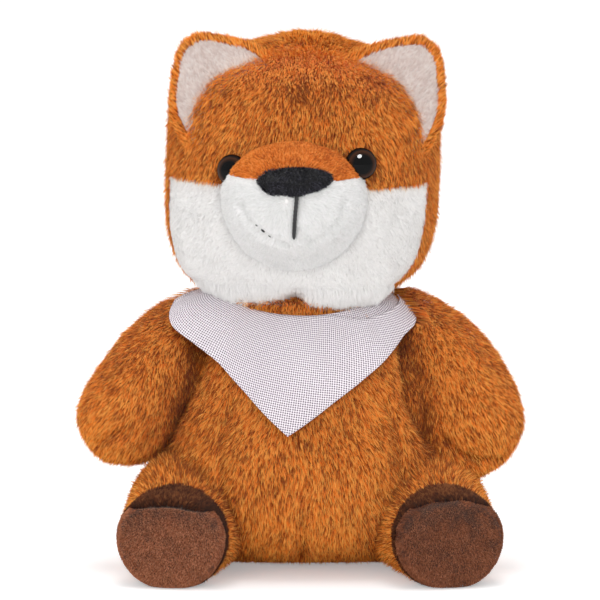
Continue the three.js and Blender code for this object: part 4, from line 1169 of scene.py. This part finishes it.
limbs = {"capReach": 11.5, "capRise": 6.5, "earRim": 3.2, "tipShare": 0.62, "soleBulge": 2.4,
         "bulgeSpread": 16, "bulgeDown": 3, "soleWave": 0.7, "waveLength": 8, "seamTone": 0.6,
         "seamSpread": 1.3, "seamWidth": 0.3}
soles = {
    "left": {"reach": 6.6, "top": 14.2, "arch": 0.016, "tone": -0.12, "capTone": 0.3},
    "right": {"reach": 6.4, "top": 12, "arch": 0.008, "tone": 0.12, "capTone": 0.06},
}


def combAlong(formName, down=0.0, way=1):
    axis = forms[formName]["place"][:3, 2] * way
    return lambda points, normals: axis - down * zAxis + 0 * points


# The top edge of the sole, as an arch across the foot
def soleEdge(sideName, aside):
    return soles[sideName]["arch"] * aside ** 2 - soles[sideName]["top"]


# The sole's own end of the foot, below a seam that waves a little
def onSole(sideName, points):
    form = forms["leg_" + sideName]
    aside, down, along = localTo(form, points).T
    seam = soleEdge(sideName, aside) + limbs["soleWave"] * softNoise(points, limbs["waveLength"], 33)[:, 0]
    return (along >= form["length"] - soles[sideName]["reach"]) & (down > seam)


# The brown cap and sole: the cap reaches further back over the top of the foot than round its sides
def onFoot(sideName, points):
    form = forms["leg_" + sideName]
    _, down, along = localTo(form, points).T
    up = np.clip(-down / form["depths"][1], 0, 1)
    return along >= form["length"] - limbs["capReach"] - limbs["capRise"] * up ** 2


# Darker in the seam between cap and sole, which is at whichever of the two edges lies nearer
def shadeSeam(sideName, points):
    form = forms["leg_" + sideName]
    aside, down, along = localTo(form, points).T
    edge = np.abs(along - form["length"] + soles[sideName]["reach"])
    over = np.maximum(soleEdge(sideName, aside) - down, 0)
    away = np.minimum(edge + over, np.hypot(over, limbs["seamWidth"]))
    return -limbs["seamTone"] * np.exp(-(away / limbs["seamSpread"]) ** 2)


# The lining lies on the ear's front, inside its outline by the width of the rim
def inLining(earName, points):
    form = forms[earName]
    x, y, z = localTo(form, points).T
    inner = form["length"] - limbs["earRim"]
    half = np.interp(z / inner, ear["along"], ear["width"]) * (form["halfWidth"] - limbs["earRim"])
    return (y < 0) & (np.abs(x) < half) & (z < inner)


def dressArm(name, seed):
    stuffedSkin(name + "_plush", name, "arm", [name + "_skin", name + "_stuffing"])
    growPile(name + "_fur", name, "orange", combAlong(name, combs["armDown"]),
             lambda p, n: clearOf("arm", p), seed, shade=shadeLimb, press=pressUnder)


def dressLeg(sideName, seed):
    name, foot, sole = f"leg_{sideName}", f"foot_{sideName}", soles[sideName]
    middle = placedBy(forms[name], np.array([0, limbs["bulgeDown"], forms[name]["length"]]))
    bulge = {"line": [middle, middle], "depth": -limbs["soleBulge"], "spread": limbs["bulgeSpread"]}
    forms[name]["dents"].append(bulge)
    nodes = [name + "_skin", name + "_stuffing", foot + "_cap", foot + "_sole"]
    stuffedSkin(name + "_plush", name, "leg", nodes, [("foot", "brown", lambda p: onFoot(sideName, p))])
    # Painted shade: the whole leg's hair is a little darker, and darker still beside the body
    growPile(name + "_fur", name, "orange", combAlong(name, combs["legDown"], -1),
             lambda p, n: clearOf("leg", p) & ~onFoot(sideName, p) & (p[:, 2] > hair["lowest"]), seed,
             shade=lambda p: shadeLimb(p) - shadow["legShade"])
    growPile(foot + "_cap_fur", name, "cap", combAlong(name, 0, -1),
             lambda p, n: onFoot(sideName, p) & ~onSole(sideName, p) & (p[:, 2] > stuffed["ground"]),
             seed + 10, shade=lambda p: sole["capTone"] + shadeSeam(sideName, p))
    growPile(foot + "_sole_fur", name, "sole", lambda p, n: -zAxis + 0 * p, lambda p, n: onSole(sideName, p),
             seed + 13, shade=lambda p: sole["tone"] + 0 * p[:, 0])


def dressEar(name, seed):
    stuffedSkin(name + "_plush", name, "ear", [name + "_back", name + "_lining"],
                [("lining", "white", lambda p: inLining(name, p))])
    growPile(name + "_fur", name, "earBack", combAlong(name),
             lambda p, n: ~inLining(name, p) & clearOf("ear", p), seed)
    growPile(name + "_lining_fur", name, "ear", combAlong(name),
             lambda p, n: inLining(name, p) & clearOf("ear", p), seed + 3)


def dressTail():
    start = forms["tail"]["length"] * limbs["tipShare"]

    def onTip(points):
        return localTo(forms["tail"], points)[:, 2] >= start

    stuffedSkin("tail_plush", "tail", "tail", ["tail_skin", "tail_tip", "tail_stuffing"],
                [("tip", "white", onTip)])
    growPile("tail_fur", "tail", "orange", combAlong("tail"), lambda p, n: clearOf("tail", p) & ~onTip(p), 91)
    growPile("tail_tip_fur", "tail", "tailTip", combAlong("tail"), lambda p, n: onTip(p), 92)


for sideName, side in sides.items():
    dressArm("arm_" + sideName, 51 + side)
    dressLeg(sideName, 61 + side)
    dressEar("ear_" + sideName, 81 + side)
dressTail()
print("body and limbs dressed")


# The outer cloth, from its top edge to its hem, all the way round. Its top edge rolls out a little where
# it is folded, as a bell curve of the rows from it
def outerCloth():
    angle = np.linspace(-np.pi, np.pi, bandana["columns"], endpoint=False) + tipAngle
    angle = (angle + np.pi) % (2 * np.pi) - np.pi
    share = np.linspace(0, 1, bandana["rows"])[:, None]
    top = clothTop(angle) - bandana["foldDrop"] * foldShare(angle)
    height = top + (clothHem(angle) - top) * share
    angles = angle + 0 * share
    reach = clothReach(angles, height, share)
    roll = np.exp(-(share * bandana["rows"] / bandana["rollRows"]) ** 2)
    edge = bandana["foldRoll"] * foldShare(angles) * roll
    places = np.dstack([angles * bandana["hemWaveReach"], height, 0 * height]).reshape(-1, 3)
    hem = softNoise(places, bandana["hemWaveLength"], 21)[:, 0].reshape(height.shape)
    return clothPoint(angles, height, reach + edge + bandana["hemWave"] * hem * share)


# The layer behind the folded top edge on the fox's left: the cloth's reach less a gap, from a little over the
# edge down by a drop that is deepest where the fold is full
def innerCloth():
    low = math.radians(bandana["foldFrom"]) - bandana["layerPast"]
    high = math.radians(bandana["foldTo"]) + bandana["foldOut"]
    angle = np.linspace(low, high, bandana["layerColumns"])
    share = np.linspace(0, 1, bandana["layerRows"])[:, None]
    top = clothTop(angle) + bandana["layerRise"] * foldShare(angle)
    drop = bandana["layerEnd"] + (1 - bandana["layerEnd"]) * foldShare(angle)
    height = top - bandana["foldDepth"] * share * drop
    angles = angle + 0 * share
    return clothPoint(angles, height, clothReach(angles, height, 0 * share) - bandana["layerGap"])


# Faces of four corners over a grid of points, with the last column joined to the first where it goes around
def gridFaces(grid, around):
    rows, columns = grid.shape[:2]
    i, j = np.meshgrid(np.arange(rows - 1), np.arange(columns - (0 if around else 1)), indexing="ij")
    a, b = i * columns + j, i * columns + (j + 1) % columns
    return np.stack([a, a + columns, b + columns, b], -1).reshape(-1, 4)


knitting = {"perMetre": (1150.0, 1150.0, 1.0), "turn": 0.12, "stray": 0.08, "holeEdge": (0.24, 0.44),
            "darkYarn": (228, 218, 224), "lightYarn": (240, 232, 237), "holeShade": (88, 70, 90)}


# A knit of fine staggered holes with painted shade in them, read from the cloth's own flat map in metres
def makeKnit():
    material, tree, shader = newMaterial("bandana knit", Roughness=0.75, Sheen_Weight=0.2)
    flat = addNode(tree, "UVMap", uv_map="cloth")
    turned = addNode(tree, "Mapping", {"Vector": flat.outputs["UV"], "Scale": knitting["perMetre"],
                                       "Rotation": (0, 0, knitting["turn"])})
    holes = addNode(tree, "TexVoronoi", {"Vector": turned.outputs[0], "Scale": 1.0,
                                         "Randomness": knitting["stray"]}, voronoi_dimensions="2D")
    low, high = knitting["holeEdge"]
    ring = addNode(tree, "MapRange", {"Value": holes.outputs["Distance"], "From Min": low, "From Max": high})
    cloud = addNode(tree, "TexNoise", {"Vector": flat.outputs["UV"], "Scale": 60.0, "Detail": 2.0})
    yarn = mixColour(tree, cloud.outputs["Fac"], rgb(*knitting["darkYarn"]), rgb(*knitting["lightYarn"]))
    # Painted shade: the holes take a dark colour for the shade within them
    colour = mixColour(tree, ring.outputs[0], rgb(*knitting["holeShade"]), yarn)
    bump = addNode(tree, "Bump", {"Strength": 0.5, "Distance": 0.0003, "Height": ring.outputs[0]})
    tree.links.new(colour, shader.inputs["Base Color"])
    tree.links.new(bump.outputs["Normal"], shader.inputs["Normal"])
    return material


# Flat map of a cloth grid in millimetres: length run along its middle row, and length run down each column
def flatMap(grid):
    middle = grid[len(grid) // 2]
    run = np.concatenate([[0], np.cumsum(np.linalg.norm(np.diff(middle, axis=0), axis=1))])
    drop = np.cumsum(np.linalg.norm(np.diff(grid, axis=0), axis=2), axis=0)
    drop = np.concatenate([np.zeros((1, grid.shape[1])), drop])
    return np.stack([run + 0 * drop, -drop], 2).reshape(-1, 2)


# Both layers in one cloth, with its flat map; a face that closes the round gets its far side's length added
def makeBandana(knit, ends):
    outer, inner = outerCloth(), innerCloth()
    points = np.concatenate([outer.reshape(-1, 3), inner.reshape(-1, 3)])
    faces = np.concatenate([gridFaces(outer, True), gridFaces(inner, False) + outer[..., 0].size])
    cloth = pieceFrom("bandana_cloth", points, faces, knit)
    flat = np.concatenate([flatMap(outer), flatMap(inner)])[faces]
    wrap = np.ptp(flat[..., 0], axis=1) > bandana["seamGap"]
    flat[..., 0] += np.where(wrap[:, None] & (flat[..., 0] < bandana["seamGap"]), np.ptp(flat[..., 0]), 0)
    cloth.data.uv_layers.new(name="cloth").uv.foreach_set("vector", (flat * mm).astype(np.float32).ravel())
    wall = cloth.modifiers.new("wall", "SOLIDIFY")
    wall.thickness, wall.offset = bandana["thickness"] * mm, 0
    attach(cloth, "body")
    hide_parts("bandana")


# Flat map of a knotted piece: its place across and up, in metres
def mapFlat(piece):
    corner = np.empty(len(piece.data.loops), np.int32)
    piece.data.loops.foreach_get("vertex_index", corner)
    flat = pointsOf(piece)[corner][:, [0, 2]]
    piece.data.uv_layers.new(name="cloth").uv.foreach_set("vector", flat.ravel())


knot = {
    "waist": 0.32, "waistWidth": 0.24, "creases": 7, "creaseDepth": 0.07, "creaseTwist": 5, "blunt": 0.8,
    "band": 2.6, "bandRise": 0.9, "bandWave": 0.25, "bandWaves": 5, "tailReach": 11, "tailDrop": 12,
    "tailBend": 1.4, "tailWidth": 3.6, "tailRoot": 0.55, "tailThickness": 0.9,
    "tailSlant": (0.75, 0.5, 0.3), "tailFrom": (1, 1.5, -1), "tailOut": 1.5, "ripple": 0.5,
}


# An ellipsoid along X whose radius is lessened at the waist and waves along its creases
def knotLump(centre, half, around):
    polar = np.linspace(0, np.pi, 40)[:, None]
    along = np.cos(polar)
    waist = 1 - knot["waist"] * np.exp(-(along / knot["waistWidth"]) ** 2)
    creases = 1 + knot["creaseDepth"] * np.cos(knot["creases"] * around + knot["creaseTwist"] * along)
    radius = np.sin(polar) ** knot["blunt"] * waist * creases
    across = -along + 0 * around
    return centre + half * np.stack([across, radius * np.cos(around), radius * np.sin(around)], 2)


# The loop round the waist: half a turn of a swelling section, from one side of the lump's middle to the
# other
def knotBand(centre, half, around):
    u = np.linspace(0, np.pi, 24)[:, None]
    radius = (1 - knot["waist"]) * half[2] + knot["bandRise"] * np.sin(u)
    radius = radius + knot["bandWave"] * np.cos(knot["bandWaves"] * around + 2 * u)
    across = knot["band"] * -np.cos(u) + 0 * around
    outward = radius * np.cos(around) * half[1] / half[2]
    return centre + np.stack([across, outward, radius * np.sin(around)], 2)


# One short tail: flat ellipses along a spine that falls by a power of its share, rounded off at both ends
def knotTail(centre, side):
    s, t = np.linspace(0, 1, 30)[:, None], np.linspace(0, 2 * np.pi, 40, endpoint=False)
    ends = np.sqrt(np.clip(1 - (2 * s - 1) ** 6, 0, 1))
    wide = knot["tailWidth"] * ends * (knot["tailRoot"] + (1 - knot["tailRoot"]) * s)
    thick = knot["tailThickness"] * ends
    x, y, z = knot["tailFrom"]
    aside, behind = side * (x + knot["tailReach"] * s), y + knot["tailOut"] * np.sin(3 * s)
    fallen = z - knot["tailDrop"] * s ** knot["tailBend"]
    spine = centre + np.concatenate([aside, behind, fallen], 1)[:, None]
    level, slant, more = knot["tailSlant"]
    across = unit(np.concatenate([level + 0 * s, 0 * s, side * (slant + more * s)], 1))[:, None]
    outward = np.array([0, 1, 0])
    ripple = knot["ripple"] * np.sin(2.5 * np.cos(t) + 4 * s)[..., None] * outward
    cloth = spine + across * (wide * np.cos(t))[..., None] + (thick * np.sin(t))[..., None] * outward
    return (cloth + ripple)[:, ::side]


# The tied ends: a bow-shaped lump drawn in at its middle, a loop round the waist and two short tails
def makeKnot(knit):
    low, high = (np.array(corner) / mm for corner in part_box("bandana_knot"))
    centre, half = (low + high) / 2, (high - low) / 2
    around = np.linspace(0, 2 * np.pi, 64, endpoint=False)
    pieces = [closedPiece("bandana_knot_lump", knotLump(centre, half, around), knit),
              closedPiece("bandana_knot_band", knotBand(centre, half, around), knit)]
    for name, side in sides.items():
        pieces.append(closedPiece(f"bandana_end_{name}", knotTail(centre, side), knit))
    for piece in pieces:
        mapFlat(piece)
        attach(piece, "body")
    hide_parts("bandana_knot")
    return pieces


knitMaterial = makeKnit()
makeBandana(knitMaterial, makeKnot(knitMaterial))

# Camera, lights and floor

studio = {
    "lens": 480, "distance": 3.0, "target": (0.0, 0.0, 0.0988), "lampsAim": (0, 0, 0.1), "farthest": 20,
    "world": 0.82, "floorHalf": 4000, "floorTone": (0.9, 0.94), "floorGlow": 0.3,
    "lamps": {
        "key": {"at": (-0.7, -2.0, 0.75), "size": 1.3, "power": 12.5},
        "fill": {"at": (0.6, -2.2, 0.3), "size": 1.3, "power": 9.0},
        "top": {"at": (0.0, -0.1, 1.9), "size": 1.0, "power": 10.0},
        "glint": {"at": (0.55, -1.8, 1.4), "size": 0.75, "power": 130.0},
    },
}


def lookAt(thing, target):
    way = Vector(target) - thing.location
    thing.rotation_euler = way.to_track_quat("-Z", "Y").to_euler()


# 1 for a ray that looks at the backdrop straight, in a reflection or through something clear, else 0
def lookingRay(tree):
    path = addNode(tree, "LightPath")
    looking = path.outputs["Is Camera Ray"]
    for ray in ("Is Glossy Ray", "Is Transmission Ray"):
        looking = addNode(tree, "Math", {0: looking, 1: path.outputs[ray]}, operation="MAXIMUM").outputs[0]
    return looking


def makeStudio():
    tilt = math.radians(picture["elevation"])
    camera = bpy.data.objects.new("camera", bpy.data.cameras.new("camera"))
    camera.data.lens = studio["lens"]
    camera.data.clip_end = studio["farthest"]
    tx, ty, tz = studio["target"]
    camera.location = (tx, ty - studio["distance"] * math.cos(tilt), tz + studio["distance"] * math.sin(tilt))
    bpy.context.scene.collection.objects.link(camera)
    lookAt(camera, studio["target"])
    bpy.context.scene.camera = camera
    bpy.context.scene.view_settings.view_transform = "Standard"
    for name, lamp in studio["lamps"].items():
        light = bpy.data.lights.new(name, "AREA")
        light.shape, light.size, light.energy = "DISK", lamp["size"], lamp["power"]
        holder = bpy.data.objects.new(name, light)
        holder.visible_glossy, holder.visible_diffuse = name == "glint", name != "glint"
        holder.location = lamp["at"]
        bpy.context.scene.collection.objects.link(holder)
        lookAt(holder, studio["lampsAim"])
    world = bpy.data.worlds.new("studio")
    world.use_nodes = True
    bpy.context.scene.world = world
    tree = world.node_tree
    tree.nodes.clear()
    bright = addNode(tree, "Mix", {"Factor": lookingRay(tree), "A": studio["world"], "B": 1.0})
    sky = addNode(tree, "Background", {"Color": (1, 1, 1, 1), "Strength": bright.outputs[0]})
    addNode(tree, "OutputWorld", {"Surface": sky.outputs[0]})


def makeFloor():
    material = bpy.data.materials.new("pale floor")
    material.use_nodes = True
    tree = material.node_tree
    tree.nodes.clear()
    paper = addNode(tree, "TexNoise", {"Scale": 30.0})
    low, high = studio["floorTone"]
    tone = addNode(tree, "MapRange", {"Value": paper.outputs["Fac"], "To Min": low, "To Max": high})
    matte = addNode(tree, "BsdfDiffuse", {"Color": tone.outputs[0]})
    lift = addNode(tree, "Math", {0: lookingRay(tree), 1: studio["floorGlow"]}, operation="MULTIPLY")
    glow = addNode(tree, "Emission", {"Color": (1, 1, 1, 1), "Strength": lift.outputs[0]})
    both = addNode(tree, "AddShader", {0: matte.outputs[0], 1: glow.outputs[0]})
    addNode(tree, "OutputMaterial", {"Surface": both.outputs[0]})
    corners = studio["floorHalf"] * np.array([[-1, -1, 0], [1, -1, 0], [1, 1, 0], [-1, 1, 0]], float)
    floor = pieceFrom("floor", corners, np.array([[0, 1, 2, 3]]), material, smooth=False)


makeStudio()
makeFloor()
print("studio set")


# Locking washers inside the head: moulded plastic with a cloudy tone and a fine grain
def makeWashers():
    material, tree, shader = newMaterial("washer plastic", Roughness=0.45)
    place = addNode(tree, "TexCoord")
    cloud = addNode(tree, "TexNoise", {"Vector": place.outputs["Object"], "Scale": 300.0, "Detail": 3.0})
    grain = addNode(tree, "TexNoise", {"Vector": place.outputs["Object"], "Scale": 4000.0})
    bump = addNode(tree, "Bump", {"Strength": 0.2, "Distance": 0.0001, "Height": grain.outputs["Fac"]})
    colour = mixColour(tree, cloud.outputs["Fac"], rgb(222, 220, 212), rgb(240, 239, 233))
    tree.links.new(colour, shader.inputs["Base Color"])
    tree.links.new(bump.outputs["Normal"], shader.inputs["Normal"])
    for name in sides:
        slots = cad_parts[f"eye_{name}_washer"].data.materials
        slots.clear()
        slots.append(material)


makeWashers()
